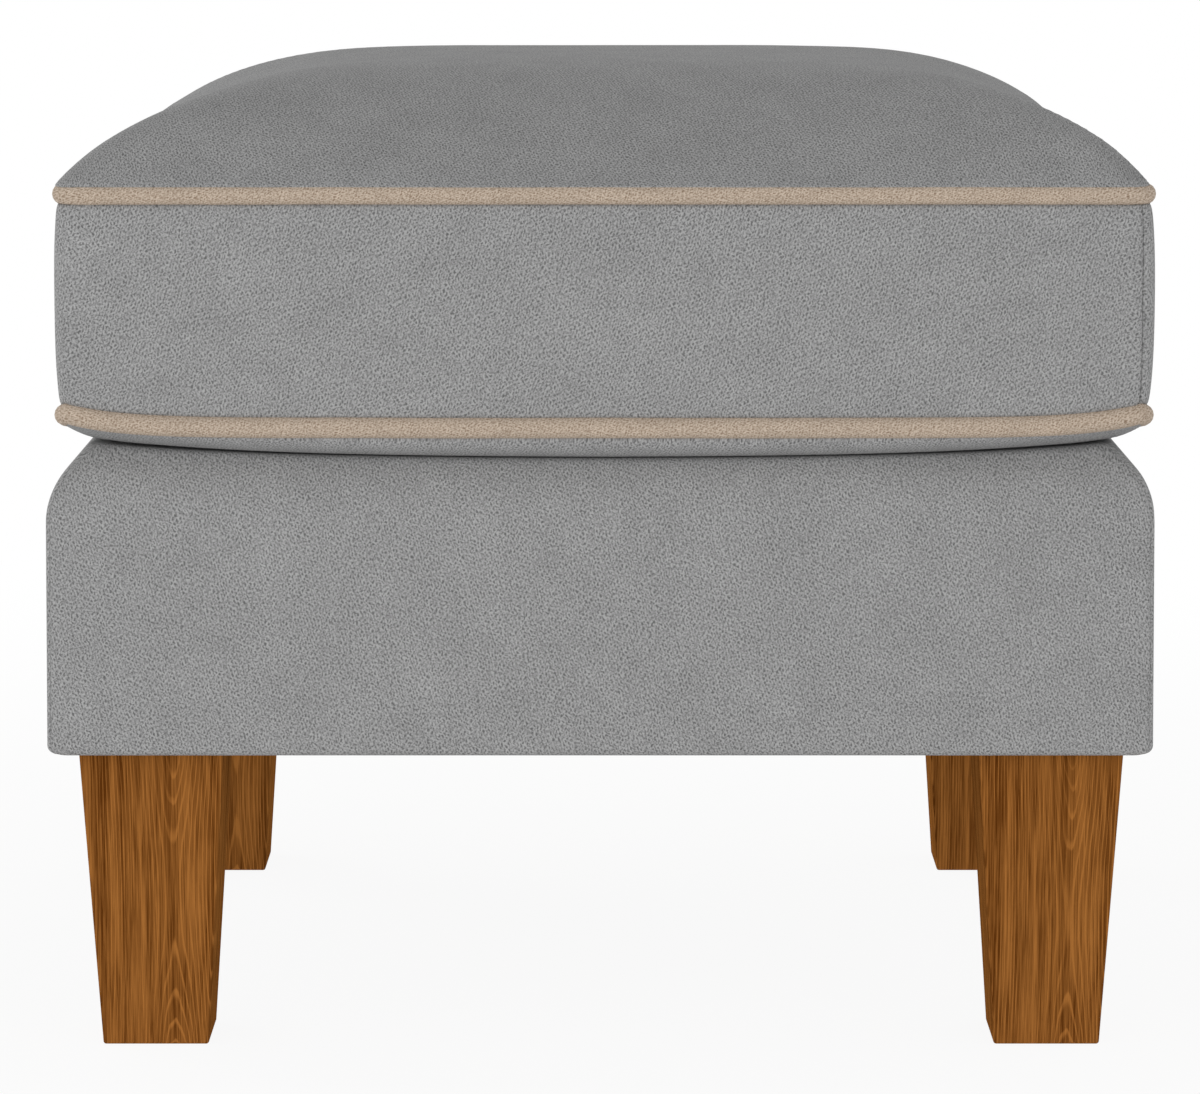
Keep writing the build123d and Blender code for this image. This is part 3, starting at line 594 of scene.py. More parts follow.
def dress(piece, material, body, nodes, thickness=0.0):
    """Say what a piece is: its finish, its body, the solids it stands for and the thickness of its cloth."""
    piece.data.materials.append(material)
    if body == "cushion":
        piece.data.transform(Matrix.Translation((cushion_shift, 0, 0)))
    if thickness:
        sheet = piece.modifiers.new("cloth_thickness", "SOLIDIFY")
        sheet.thickness = thickness
        sheet.offset = -1
    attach(piece, body)
    if nodes:
        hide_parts(*nodes)
    return piece


def cover_in_grey(piece, body, node, thickness=cloth_thickness):
    """Dress a panel of the grey cover."""
    return dress(piece, grey_cloth, body, [node], thickness)


# %% [markdown]
# Curves are worked out for a whole grid at once, and two small helpers serve all of
# them: a step with soft ends, and a way to stack numbers as coordinates.


# %% Helpers for grids
def smooth_step(value):
    """0 to 1 with soft ends."""
    value = np.clip(value, 0, 1)
    return value * value * (3 - 2 * value)


def grid_of(*parts):
    """Several arrays of numbers, spread over one grid and stacked as its coordinates."""
    return np.stack(np.broadcast_arrays(*parts), -1)


# %% [markdown]
# The footstool is square with softly rounded corners, so every cloth piece follows
# a rounded square. `ring` walks once round such a square, clockwise seen from
# above, starting at the middle of the right front corner, and always with the same
# number of points, so that rings of different sizes can be joined to each other.
# `square_grid` fills one instead: a square grid is bent until each of its rings is
# a rounded square, and its rings can crowd together towards the edge.

# %% Rounded squares
side_steps = 110
corner_steps = 16
quarter = side_steps + corner_steps


def ring(half, corner, sides=side_steps, bends=corner_steps):
    """Points (n, 2) and outward directions (n, 2) round a rounded square."""
    points, outward = [], []
    middle = half - corner
    runs = ((-1, 0), (0, 1), (1, 0), (0, -1))
    for number, (sx, sy) in enumerate(((1, -1), (-1, -1), (-1, 1), (1, 1))):
        angles = -number * pi / 2 - np.linspace(0, pi / 2, bends + 1)
        arc = np.stack([np.cos(angles), np.sin(angles)], 1)
        bend = np.array([sx * middle, sy * middle]) + corner * arc
        shares = np.arange(1, sides)[:, None] / sides
        straight = bend[-1] + np.array(runs[number]) * 2 * middle * shares
        points += [bend, straight]
        outward += [arc, np.repeat(arc[-1:], sides - 1, 0)]
    half_bend = bends // 2
    return np.roll(np.concatenate(points), -half_bend, 0), np.roll(np.concatenate(outward), -half_bend, 0)


def walked(points):
    """The distance walked to each point of a closed ring, and back to the first."""
    steps = np.linalg.norm(np.roll(points, -1, 0) - points, axis=1)
    return np.concatenate([[0], np.cumsum(steps)])


def square_grid(steps, half, first_corner, corner_growth, power):
    """A grid over a rounded square: x, y and how far in from the edge each point is."""
    line = np.linspace(-1, 1, steps + 1)
    s, t = np.meshgrid(line, line, indexing="xy")
    out = np.maximum(np.abs(s), np.abs(t))
    inset = half * (1 - out) ** power
    reach = half - inset
    corner = np.minimum(first_corner + corner_growth * inset, reach * 0.999)
    straight = reach - corner
    walk = np.minimum(np.abs(s), np.abs(t)) / np.maximum(out, tiny) * (straight + corner * pi / 4)
    angle = np.clip((walk - straight) / np.maximum(corner, tiny), 0, pi / 4)
    minor = np.where(walk < straight, walk, straight + corner * np.sin(angle))
    major = np.where(walk < straight, reach, straight + corner * np.cos(angle))
    x_leads = np.abs(s) >= np.abs(t)
    x = np.where(x_leads, major, minor) * np.sign(s)
    y = np.where(x_leads, minor, major) * np.sign(t)
    return x, y, inset


base_low, base_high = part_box("front_cover_panel")
upper_low, upper_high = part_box("upper_piping_cover")
lower_low, lower_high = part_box("lower_piping_cover")
base_half = base_high.x
piping_radius = (upper_high.z - upper_low.z) / 2
path_half = upper_high.x - piping_radius
path_corner = 10.5 * mm
upper_level = (upper_low.z + upper_high.z) / 2
lower_middle = (lower_low.z + lower_high.z) / 2
ring_size = len(ring(path_half, path_corner)[0])
print("ring points:", ring_size, "piping path half", round(path_half, 4))

# %% [markdown]
# Nothing here is quite straight. The cushion weighs down the middle of the base and
# its corners turn up a little, as the photo shows on the lower piping, and the
# cushion's sides pull in between the corners. Low down at the front they spread a
# little instead, which is guessed from the shade there. The cushion and the base
# share these curves, so that one rests on the other all the way round. The rear
# side stays straight, because the zip stiffens it.

# %% Curves that the cushion and the base share
deck_level = base_high.z
deck_edge_drop, deck_middle_rise = 2.3 * mm, 1.8 * mm
deck_corner_rise, deck_corner_reach = 13 * mm, 75 * mm
piping_rise = 0.3 * mm
corner_turn_up, turn_up_reach = 7.6 * mm, 25 * mm
side_pull, front_spread = 1.8 * mm, 4.6 * mm
pull_fades_over = 60 * mm


def deck_height(x, y):
    """The top of the base, pressed down in the middle of each side and raised at the corners."""
    to_x, to_y = base_half - np.abs(x), base_half - np.abs(y)
    middle = deck_middle_rise * smooth_step((np.minimum(to_x, to_y) - 16 * mm) / (50 * mm))
    corner = deck_corner_rise * np.exp(-(to_x + to_y) / deck_corner_reach)
    return deck_level - deck_edge_drop + middle + corner


def lower_level(x, y):
    """The height of the lower piping: level, and turned up close to the corners."""
    from_corner = path_half - np.minimum(np.abs(x), np.abs(y))
    return lower_middle + piping_rise + corner_turn_up * np.exp(-from_corner / turn_up_reach)


def drawn_in(x, y, half=path_half, low=0.0):
    """How far the cushion's sides pull in between its corners, less so low down at the front."""
    along = np.clip(np.minimum(np.abs(x), np.abs(y)) / half, 0, 1)
    drawn = side_pull * (1 - along**4) * smooth_step((half * 0.97 - y) / (10 * mm))
    at_front = smooth_step(-y / (200 * mm))
    spread = front_spread * (1 - np.clip(np.abs(x) / half, 0, 1) ** 4) * at_front
    return drawn - low * spread


def pulled_in(x, y, inset, half, low=0.0):
    """The x and y of a panel once its sides pull in, which fades towards its middle."""
    major = np.maximum(np.abs(x), np.abs(y))
    pull = drawn_in(x, y, half, low) * np.exp(-inset / pull_fades_over) / np.maximum(major, 10 * mm)
    x_leads = np.abs(x) >= np.abs(y)
    return np.where(x_leads, x * (1 - pull), x), np.where(x_leads, y, y * (1 - pull))


print("deck from", round(float(deck_height(0, 0)), 4), "to", round(float(deck_height(0.26, 0.26)), 4))

# %% [markdown]
# Real upholstery gets its shape from stuffing that pushes outwards against cloth
# held at its seams. Blender's cloth simulation does the same: each panel starts a
# little too flat, its seam edges are pinned, and air pressure swells it. A coarse
# grid of points is enough for that and settles in seconds. We cap how far a point
# may move, read the moves back smoothly at the finer points of the real piece, and
# throw the coarse piece away.


# %% Swell a panel with a cloth simulation
def swell(name, points, pressure, cap, wrap=False, stiffness=15.0, frames=20):
    """Inflate a coarse grid that is pinned at its edges, and give the move of each point."""
    flat = np.zeros((points.shape[0] + 1, points.shape[1] + 1, 2))
    piece = cloth_mesh(name, points, flat, wrap=(False, wrap), flip=wrap)
    pinned = np.zeros(points.shape[:2], bool)
    pinned[[0, -1]] = True
    if not wrap:
        pinned[:, [0, -1]] = True
    group = piece.vertex_groups.new(name="seam")
    group.add([int(i) for i in np.flatnonzero(pinned)], 1.0, "REPLACE")
    cloth = piece.modifiers.new("swell", "CLOTH")
    settings = cloth.settings
    settings.vertex_group_mass = "seam"
    settings.use_pressure = True
    settings.uniform_pressure_force = pressure
    settings.effector_weights.gravity = 0
    settings.quality = 5
    settings.mass = 0.3
    settings.tension_stiffness = stiffness
    settings.compression_stiffness = stiffness
    settings.shear_stiffness = 5.0
    settings.bending_stiffness = 0.5
    cloth.collision_settings.use_collision = False
    cloth.point_cache.frame_start, cloth.point_cache.frame_end = 1, frames
    for number in range(1, frames + 1):
        bpy.context.scene.frame_set(number)
    settled = piece.evaluated_get(bpy.context.evaluated_depsgraph_get())
    moved = np.array([v.co for v in settled.data.vertices]).reshape(points.shape) - points
    bpy.context.scene.frame_set(1)
    mesh = piece.data
    bpy.data.objects.remove(piece)
    bpy.data.meshes.remove(mesh)
    length = np.linalg.norm(moved, axis=2)
    print(name, "swelled", round(float(np.median(length)) / mm, 2), "mm")
    return moved * (cap * np.tanh(length / cap) / np.maximum(length, tiny))[:, :, None]


def smooth_weights(places, count, wrap=False):
    """How much each of `count` coarse values counts at finer places, for a smooth curve."""
    weights = np.zeros((len(places), count))
    below = np.floor(places).astype(int)
    t = places - below
    shares = (
        (-t + 2 * t**2 - t**3) / 2,
        (2 - 5 * t**2 + 3 * t**3) / 2,
        (t + 4 * t**2 - 3 * t**3) / 2,
        (-(t**2) + t**3) / 2,
    )
    for step, share in zip((-1, 0, 1, 2), shares):
        which = below + step
        which = which % count if wrap else np.clip(which, 0, count - 1)
        np.add.at(weights, (np.arange(len(places)), which), share)
    return weights


# %% [markdown]
# The top panel swells into a high crown. Its height depends on how far in from
# the edge you are, steep at the piping and nearly level in the middle, and the
# level lines get rounder towards the centre and pull in between the corners. The
# photo also shows that it isn't even: it sinks towards the rear corners, more on
# the left, and its sides are a little fuller than its middle. The place on the cloth
# is the distance walked up the crown, so the weave is not stretched on the slopes.

# %% Shape of the crown
crown_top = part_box("top_panel")[1].z
crown_overhang = 2.5 * mm
crown_half = path_half + crown_overhang
crown_foot = upper_level + 4.2 * mm
crown_height = crown_top - crown_foot
crown_swell = 2.8 * mm
crown_flatness, crown_roundness = 4.27, 0.843
hollow_at, hollow_depth = 53 * mm, 9 * mm
rear_dip_left, rear_dip_right = 5.0 * mm, 1.6 * mm
side_rise_left, side_rise_right = 1.0 * mm, 2.2 * mm
right_front_tuck = 1.4 * mm


def crown_profile(inset, height=crown_height):
    """Height above the crown's foot at a distance in from its edge."""
    share = np.clip(inset / crown_half, 0, 1)
    return height * (1 - (1 - share) ** crown_flatness) ** crown_roundness


def crown_surface(steps):
    """Points of the top panel before it swells, and its place on the flat cloth."""
    x, y, inset = square_grid(steps, crown_half, path_corner + crown_overhang, 0.12, 1.6)
    major = np.maximum(np.abs(x), np.abs(y))
    along = np.minimum(np.abs(x), np.abs(y)) / np.maximum(major, 1 * mm)
    hollow = inset / hollow_at * np.exp(1 - inset / hollow_at)
    effective = np.maximum(inset - hollow_depth * hollow * (1 - along**2), 0)
    z = crown_foot + crown_profile(effective, crown_height - crown_swell)
    rear_corner = np.exp(-((crown_half - np.abs(x)) + (crown_half - y)) / (90 * mm))
    z -= np.where(x < 0, rear_dip_left, rear_dip_right) * rear_corner * smooth_step(inset / (30 * mm))
    shoulder = smooth_step((np.abs(x) - 110 * mm) / (90 * mm)) * smooth_step(inset / (22 * mm))
    z += np.where(x < 0, side_rise_left, side_rise_right) * shoulder
    x, y = pulled_in(x, y, inset, crown_half)
    near_right = smooth_step((x - 190 * mm) / (70 * mm)) * smooth_step((-70 * mm - y) / (90 * mm))
    x = x - right_front_tuck * near_right * np.exp(-inset / (25 * mm))
    across = np.linspace(0, crown_half, 400)
    climb = np.hypot(np.diff(across), np.diff(crown_profile(crown_half - across)))
    climb = np.concatenate([[0], np.cumsum(climb)])
    lay_flat = [np.sign(v) * np.interp(np.abs(v), across, climb) for v in (x, y)]
    return grid_of(x, y, z), grid_of(*lay_flat)


print("crown rises", round(float(crown_profile(crown_half)) / mm, 1), "mm above its foot")

# %% [markdown]
# The crown starts a few millimetres too low and swells on a grid of half as many
# steps, and the fine grid takes the moves over.

# %% Crown of the top panel
crown_steps = 96
coarse_crown, _ = crown_surface(crown_steps // 2)
crown_moves = swell("crown_trial", coarse_crown, 4.0, 2.5 * mm)
crown_points, crown_cloth = crown_surface(crown_steps)
half_steps = smooth_weights(np.arange(crown_steps + 1) / 2, crown_steps // 2 + 1)
crown_points = crown_points + np.einsum("ri,ijk,cj->rck", half_steps, crown_moves, half_steps)
cushion_top = cloth_mesh("cushion_top", crown_points, crown_cloth)
cover_in_grey(cushion_top, "cushion", "top_panel")
print("crown top at", round(float(crown_points[:, :, 2].max()), 4))

# %% [markdown]
# The boxing is the upright wall between the two piping lines. It bows out between
# its seams, and at each seam it curls in behind the piping. All its strips are
# cut from one swollen wall: one strip from the right front corner round the left
# front corner, one for the right side, and two at the rear with the zip between.

# %% Shape of the wall
seam_tuck = 4.7 * mm
wall_lean = 1.3 * mm
foot_lean = 1.2 * mm
wall_swell = 1.0 * mm
foot_curl, head_curl, edge_curl = 2.3 * mm, 1.9 * mm, 0.9 * mm
fuller_right = 0.9 * mm


def ring_places(numbers, half=path_half, corner=path_corner):
    """Points and outward directions at ring numbers that need not be whole."""
    points, outward = ring(half, corner)
    at = np.mod(numbers, ring_size)
    whole = np.arange(ring_size + 1)
    found = [np.interp(at, whole, np.append(a[:, k], a[0, k])) for a in (points, outward) for k in (0, 1)]
    return np.stack(found[:2], -1), np.stack(found[2:], -1)


def wall_points(numbers, shares):
    """The wall at ring numbers and at shares of its height, both (rows, columns)."""
    at, out = ring_places(numbers)
    low = lower_level(at[..., 0], at[..., 1])
    z = low + seam_tuck + (upper_level - low - 2 * seam_tuck) * shares
    bend = np.abs(2 * shares - 1)
    inward = np.where(shares < 0.5, foot_curl, head_curl) * bend**3 + edge_curl * bend**24
    inward = inward + wall_lean * shares + foot_lean * (1 - shares) + wall_swell * (1 - bend**2)
    beyond = piping_radius - inward - drawn_in(at[..., 0], at[..., 1], path_half, 1 - shares)
    beyond = beyond + fuller_right * np.clip(out[..., 0], 0, 1) * (1 - bend**2)
    plan = at + out * beyond[..., None]
    return np.concatenate([plan, z[..., None]], -1)


print("wall height at the front", round(float(upper_level - lower_level(0, -path_half)) / mm, 1), "mm")

# %% [markdown]
# The wall swells as one closed band, pinned along its two seams. `swollen_wall` then
# gives any point of it, at a place round the ring and a share of the height, so the
# strips can be cut wherever their seams are and still fit each other.

# %% Swell the wall
coarse_step = 4
coarse_rows, coarse_columns = 15, ring_size // coarse_step
numbers, shares = np.meshgrid(np.arange(coarse_columns) * float(coarse_step), np.linspace(0, 1, coarse_rows))
wall_moves = swell("wall_trial", wall_points(numbers, shares), 2.5, 3 * mm, wrap=True)


def swollen_wall(numbers, shares):
    """The wall after swelling, at ring numbers (columns) and shares (rows, columns)."""
    points = wall_points(*np.broadcast_arrays(numbers[None, :], shares))
    over = smooth_weights(np.mod(numbers, ring_size) / coarse_step, coarse_columns, True)
    down = smooth_weights(shares.ravel() * (coarse_rows - 1), coarse_rows)
    down = np.broadcast_to(down.reshape(*shares.shape, coarse_rows), (*points.shape[:2], coarse_rows))
    return points + np.einsum("rci,ijk,cj->rck", down, wall_moves, over)


print("wall swelled by at most", round(float(np.abs(wall_moves).max()) / mm, 2), "mm")

# %% [markdown]
# Each strip ends in a seam, a groove only a few millimetres wide. So the points stand
# closer together next to it, and everything is measured by the distance walked along
# the piping and not by the count of points.

# %% Seams at the ends of a strip
wall_walk = walked(ring(path_half, path_corner)[0])
clear_of_seam = 3.4 * mm


def walk_at(numbers):
    """The distance along the piping at ring numbers, also past the first round."""
    rounds = np.floor(numbers / ring_size)
    return rounds * wall_walk[-1] + np.interp(np.mod(numbers, ring_size), np.arange(ring_size + 1), wall_walk)


seam_steps = np.array([0, 0.2, 0.5, 0.9, 1.4, 2.0, 2.8]) * mm


def strip_numbers(first, last):
    """Ring numbers of a strip, with fine steps next to the seams at its ends."""
    start, stop = walk_at(np.array([first, last]))
    walks = walk_at(np.arange(np.ceil(first), last))
    walks = walks[(walks > start + clear_of_seam) & (walks < stop - clear_of_seam)]
    walks = np.concatenate([start + seam_steps, walks, stop - seam_steps[::-1]])
    every = np.arange(-ring_size, 2 * ring_size)
    return np.interp(walks, walk_at(every), every), walks


def seam_groove(distance, z, depth=2.0 * mm, width=2.6 * mm, stitch=2.3 * mm):
    """How far cloth turns in next to a seam, a little more at each stitch."""
    reach = np.clip(1 - distance / width, 0, 1)
    tight = 0.85 + 0.15 * np.cos(2 * pi * z / stitch)
    return depth * tight * (1 - np.sqrt(1 - reach**2))


def turn_in_at_seams(points, walks, outward):
    """Roll the cloth of a strip inwards at the seams at both its ends."""
    to_seam = np.minimum(walks - walks[0], walks[-1] - walks)
    turn_in = seam_groove(to_seam[None, :], points[:, :, 2])
    points[:, :, :2] -= outward[None, :, :] * turn_in[:, :, None]


wall_rows = np.linspace(0, 1, 64)[:, None]
print("seam line", round(wall_walk[-1], 3), "m round")

# %% [markdown]
# Each strip ends in a seam. There the cloth rolls inwards, held tight by every
# stitch, which shows as a fine dotted groove at the right front corner. The seams
# at the rear ends of the side strips are alike.

# %% Front and side strips of the wall
corner_seam = 1.6
left_seam = quarter + corner_steps / 2 + side_steps * 0.89
right_seam = 3 * quarter + corner_steps / 2 + side_steps * 0.11


def wall_strip(name, first, last, node):
    """One strip of the wall between the seams at two ring numbers."""
    numbers, walks = strip_numbers(first, last)
    points = swollen_wall(numbers, wall_rows)
    turn_in_at_seams(points, walks, ring_places(numbers)[1])
    on_cloth = grid_of(walks[None, :], points[:, :, 2])
    piece = cloth_mesh(name, points, on_cloth, flip=True)
    return cover_in_grey(piece, "cushion", node)


front_strip = wall_strip("front_boxing_strip", corner_seam, left_seam, "front_boxing")
right_strip = wall_strip("right_boxing_strip", right_seam, ring_size + corner_seam, "right_boxing")
print("strips:", front_strip.name, right_strip.name)

# %% [markdown]
# The rear strip is cut in two along its middle, and the zip is sewn between. The
# edges are folded back on themselves, so each half ends in a rounded lip, and the
# lips stand apart over the zip and meet beyond its ends. The lips are part
# of the same grid: its last rows curl inwards.

# %% Rear strips with the zip opening
zip_low, zip_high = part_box("zip_chain")
zip_middle = (zip_low.z + zip_high.z) / 2
zip_half = zip_high.x
opening_half, closed_half = 6 * mm, 0.15 * mm
lip_curl = ((1.6, 4.0), (1.6, 2.4), (1.5, 1.3), (1.1, 0.55), (0.5, 0.1))
lip_fold, lip_thickness = 8 * mm, 0.8 * mm


def lip_gap(x):
    """Half the width of the zip opening along the rear of the cushion."""
    closing = smooth_step((np.abs(x) - zip_half + 2 * mm) / (14 * mm))
    return opening_half * (1 - closing) + closed_half


def rear_strip(name, upward, node):
    """One half of the rear strip, above the zip (1) or below it (-1)."""
    numbers, walks = strip_numbers(left_seam, right_seam)
    at, outward = ring_places(numbers)
    low = lower_level(at[:, 0], at[:, 1]) + seam_tuck
    high = upper_level - seam_tuck
    on_rear = at[:, 1] > path_half - 5 * mm
    lip = zip_middle + upward * lip_gap(np.where(on_rear, at[:, 0], path_half))
    lip_share = (lip - low) / (high - low)
    far_share = 1.0 if upward > 0 else 0.0
    shares = lip_share[None, :] + (far_share - lip_share[None, :]) * np.linspace(0, 1, 40)[:, None]
    points = swollen_wall(numbers, shares)
    turn_in_at_seams(points, walks, outward)
    curl = []
    for inward, back in lip_curl:
        row = points[0].copy()
        row[:, :2] -= outward * inward * mm
        row[:, 2] += upward * back * mm
        curl.append(row)
    points = np.concatenate([np.array(curl), points])
    height = points[:, :, 2].copy()
    height[: len(curl)] -= upward * lip_fold
    piece = cloth_mesh(name, points, grid_of(walks[None, :], height), flip=upward > 0)
    return cover_in_grey(piece, "cushion", node, lip_thickness)


rear_upper = rear_strip("rear_boxing_strip_upper", 1, "rear_boxing_upper")
rear_lower = rear_strip("rear_boxing_strip_lower", -1, "rear_boxing_lower")
print("rear strips:", rear_upper.name, rear_lower.name)

# %% [markdown]
# Two rows of topstitching hold the zip. Each stitch is a short thread that dives
# into the cloth at both ends, modelled as a tiny bent tube.

# %% Topstitching along the zip
thread_radius, arch_height, arch_dive = 0.28 * mm, 0.3 * mm, 0.75 * mm
stitch_pitch, stitch_half, stitch_from_lip = 4.0 * mm, 1.5 * mm, 3.5 * mm


def stitch_line(name, starts, ends, out):
    """Rows of stitches: each runs from start to end and arches outwards."""
    around, steps = 6, 5
    angle = np.linspace(0, 2 * pi, around, endpoint=False)
    points = []
    for start, end in zip(starts, ends):
        along = (end - start) / np.linalg.norm(end - start)
        side = np.cross(along, out)
        for share in np.linspace(0, 1, steps):
            arch = arch_height - arch_dive * (2 * share - 1) ** 2
            middle = start + (end - start) * share + out * arch
            points += [middle + thread_radius * (cos(a) * out + sin(a) * side) for a in angle]
    first = np.arange(len(starts))[:, None, None] * around * steps
    r = first + np.arange(steps - 1)[None, :, None] * around
    k, after = np.arange(around), (np.arange(around) + 1) % around
    faces = grid_of(r + k, r + after, r + around + after, r + around + k).reshape(-1, 4)
    piece = piece_from(name, np.array(points), faces)
    return dress(piece, thread, "cushion", [])


def rear_surface(x, z):
    """The place on the rear wall of the cushion at x and a height."""
    straight = 2 * (path_half - path_corner)
    numbers = 2 * quarter + corner_steps / 2 + side_steps * (x / straight + 0.5)
    at, _ = ring_places(numbers)
    low = lower_level(at[:, 0], at[:, 1]) + seam_tuck
    shares = (z - low) / (upper_level - seam_tuck - low)
    return swollen_wall(numbers, shares[None, :])[0]


places = np.arange(-int(zip_half / stitch_pitch) - 2, int(zip_half / stitch_pitch) + 3) * stitch_pitch
starts, ends = [], []
for upward in (1, -1):
    row = zip_middle + upward * (lip_gap(places) + stitch_from_lip)
    starts.append(rear_surface(places - stitch_half, row))
    ends.append(rear_surface(places + stitch_half, row))
starts, ends = np.concatenate(starts), np.concatenate(ends)
zip_stitches = stitch_line("zip_stitches", starts, ends, np.array([0, 1.0, 0]))
print("stitches:", len(starts), "in", zip_stitches.name)

# %% [markdown]
# The zip's tapes are plain woven bands behind the opening. Their solids have the
# right size but hard edges, so each is made anew in the same box with rounded ones.


# %% Zip tapes
def zip_band(name, node):
    """A flat band with rounded edges in the box of a solid, upright and facing the rear."""
    low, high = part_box(node)
    x = np.linspace(low.x, high.x, 60)
    section = [(0, 0.04), (0.5, 0), (1, 0.04), (1, 0.35), (1, 0.65), (1, 0.96), (0.5, 1), (0, 0.96)]
    y = np.array([low.y + (high.y - low.y) * s for s, _ in section])
    z = np.array([low.z + (high.z - low.z) * t for _, t in section])
    points = grid_of(x[None, :], y[:, None], z[:, None])
    on_cloth = grid_of(x[None, :], np.append(z, z[0])[:, None])
    piece = cloth_mesh(name, points, on_cloth, wrap=(True, False), flip=True)
    return dress(piece, tape_cloth, "cushion", [node])


upper_band = zip_band("zip_band_upper", "zip_tape_upper")
lower_band = zip_band("zip_band_lower", "zip_tape_lower")
print("bands:", upper_band.name, lower_band.name)

# %% [markdown]
# Piping is a cord wrapped in a strip of cloth cut on the slant, which is why its
# weave runs round it diagonally. We sweep a circle along the seam line. Hand-sewn
# piping is never perfectly even, so its thickness and line wander by a fraction
# of a millimetre. The cord inside is the same sweep, only thinner.

# %% Piping
upper_radius, lower_radius, core_radius = 5.3 * mm, 5.5 * mm, 3.6 * mm
line_wander, thickness_wander = 0.15 * mm, 0.014


def wander(along, seed, size):
    """Smooth repeatable unevenness along a seam, from -1 to 1."""
    return np.array([noise.noise(Vector((value / size, seed, 0.5))) for value in along])


def piping(name, height_of, lean, low, seed, radius, material, slot, nodes):
    """A closed run of piping or cord along the rounded square."""
    points, outward = ring(path_half - lean, path_corner)
    walk = walked(points)
    pull = drawn_in(points[:, 0], points[:, 1], path_half, low)
    level = height_of(points[:, 0], points[:, 1]) + line_wander * wander(walk[:-1], seed, 45 * mm)
    centre = np.column_stack([points - outward * pull[:, None], level])
    thick = radius * (0.985 + thickness_wander * wander(walk[:-1], seed + 3, 14 * mm))
    around = 16
    angle = np.linspace(0, 2 * pi, around, endpoint=False)
    circle = grid_of(outward[:, :1] * np.cos(angle), outward[:, 1:] * np.cos(angle), np.sin(angle)[None, :])
    tube = centre[:, None, :] + thick[:, None, None] * circle
    turn = np.linspace(0, 2 * pi, around + 1) * radius
    slant = grid_of(walk[:, None], turn[None, :]) @ np.array([[0.707, -0.707], [0.707, 0.707]])
    piece = cloth_mesh(name, tube, slant, wrap=(True, True))
    return dress(piece, material, "cushion", nodes)


def upper_height(x, y):
    """The upper piping is level."""
    return upper_level + 0 * x


upper_run = ("upper_piping", upper_radius, upper_height, wall_lean, 0.0, 1)
lower_run = ("lower_piping", lower_radius, lower_level, foot_lean, 1.0, 7)
for name, radius, *run in (upper_run, lower_run):
    piping(name, *run, radius, beige_cloth, "beige_fabric", [f"{name}_cover"])
    piping(f"{name}_core", *run, core_radius, cord_cotton, "cord", [f"{name}_cord"])
print("piping runs", round(wall_walk[-1], 3), "m long")

# %% [markdown]
# The underside bulges below its piping and flattens where it lies on the base, with
# a hair of air between, so that the two never cut into each other. Close to the
# corners, which turn up, it is less plump.

# %% Underside of the cushion
under_half = path_half - 0.4 * mm
air_above_deck, rim_below_piping = 0.35 * mm, 4.4 * mm
x, y, inset = square_grid(80, under_half, path_corner, 0.12, 1.9)
rest = deck_height(x, y) + air_above_deck
rim = lower_level(x, y) - rim_below_piping
near_corner = np.exp(-((under_half - np.abs(x)) + (under_half - np.abs(y))) / (55 * mm))
plump = np.sqrt(1 - (1 - np.clip(inset / (13 * mm), 0, 1)) ** 2)
z = rim + (rest - rim) * (plump + (np.clip(inset / (26 * mm), 0, 1) - plump) * near_corner)
x_leads = np.abs(x) >= np.abs(y)
x, y = pulled_in(x, y, inset, under_half, 1.0)
past_rim = 1 + 9 * mm * np.clip(1 - inset / (6 * mm), 0, 1) / under_half
on_cloth = grid_of(np.where(x_leads, x * past_rim, x), np.where(x_leads, y, y * past_rim))
underside = cloth_mesh("cushion_underside", grid_of(x, y, z), on_cloth, flip=True)
cover_in_grey(underside, "cushion", "bottom_panel")
print("underside from", round(float(z.min()), 4), "to", round(float(z.max()), 4))

# %% [markdown]
# The cover of the base is pulled over the padding: it turns under at the bottom,
# climbs the wall, rolls over a soft shoulder and ends on the deck, where a plain
# lining takes over.

# %% Profile of the base's cover
wall_foot = base_low.z
roll_angle = radians(42.3)
shoulder_radius = 40 * mm
edge_radius = 5 * mm
shoulder_start = 266.9 * mm
slope = tan(radians(47.7))
slope_softness = 3 * mm
deck_border = 80 * mm
cover_return = 30 * mm
roll_inset = shoulder_radius * (1 - cos(roll_angle))
roll_top = shoulder_start + shoulder_radius * sin(roll_angle)


def softer_low(first, second, softness):
    """The lower of two heights, rounded where they cross."""
    share = np.clip(0.5 + 0.5 * (second - first) / softness, 0, 1)
    return second + (first - second) * share - softness * share * (1 - share)


def cover_height(inset, x, y):
    """The height of the cover past the roll: up the slope and level on the deck."""
    return softer_low(roll_top + (inset - roll_inset) * slope, deck_height(x, y), slope_softness)


def cover_corner(inset):
    """The corner radius of the base at a distance in from its edge."""
    return 6 * mm + 0.35 * inset


def base_profile(inward=0.0):
    """The cover's wall and shoulder as (inset, height), or a layer further in."""
    rows = []
    for angle in np.linspace(0, pi / 2, 7):
        edge = edge_radius - inward
        rows.append((inward + edge * (1 - sin(angle)), wall_foot + inward + edge * (1 - cos(angle))))
    for height in np.linspace(wall_foot + edge_radius, shoulder_start, 24)[1:-1]:
        rows.append((inward, height))
    for angle in np.linspace(0, roll_angle, 12):
        roll = shoulder_radius - inward
        rows.append((inward + roll * (1 - cos(angle)), shoulder_start + roll * sin(angle)))
    return rows


print("shoulder rolls in by", round(roll_inset / mm, 1), "mm")

# %% [markdown]
# The profile is walked round the rounded square, row by row. The cover is drawn in by
# about a millimetre, most at the start of the shoulder, to meet the photo's outline.

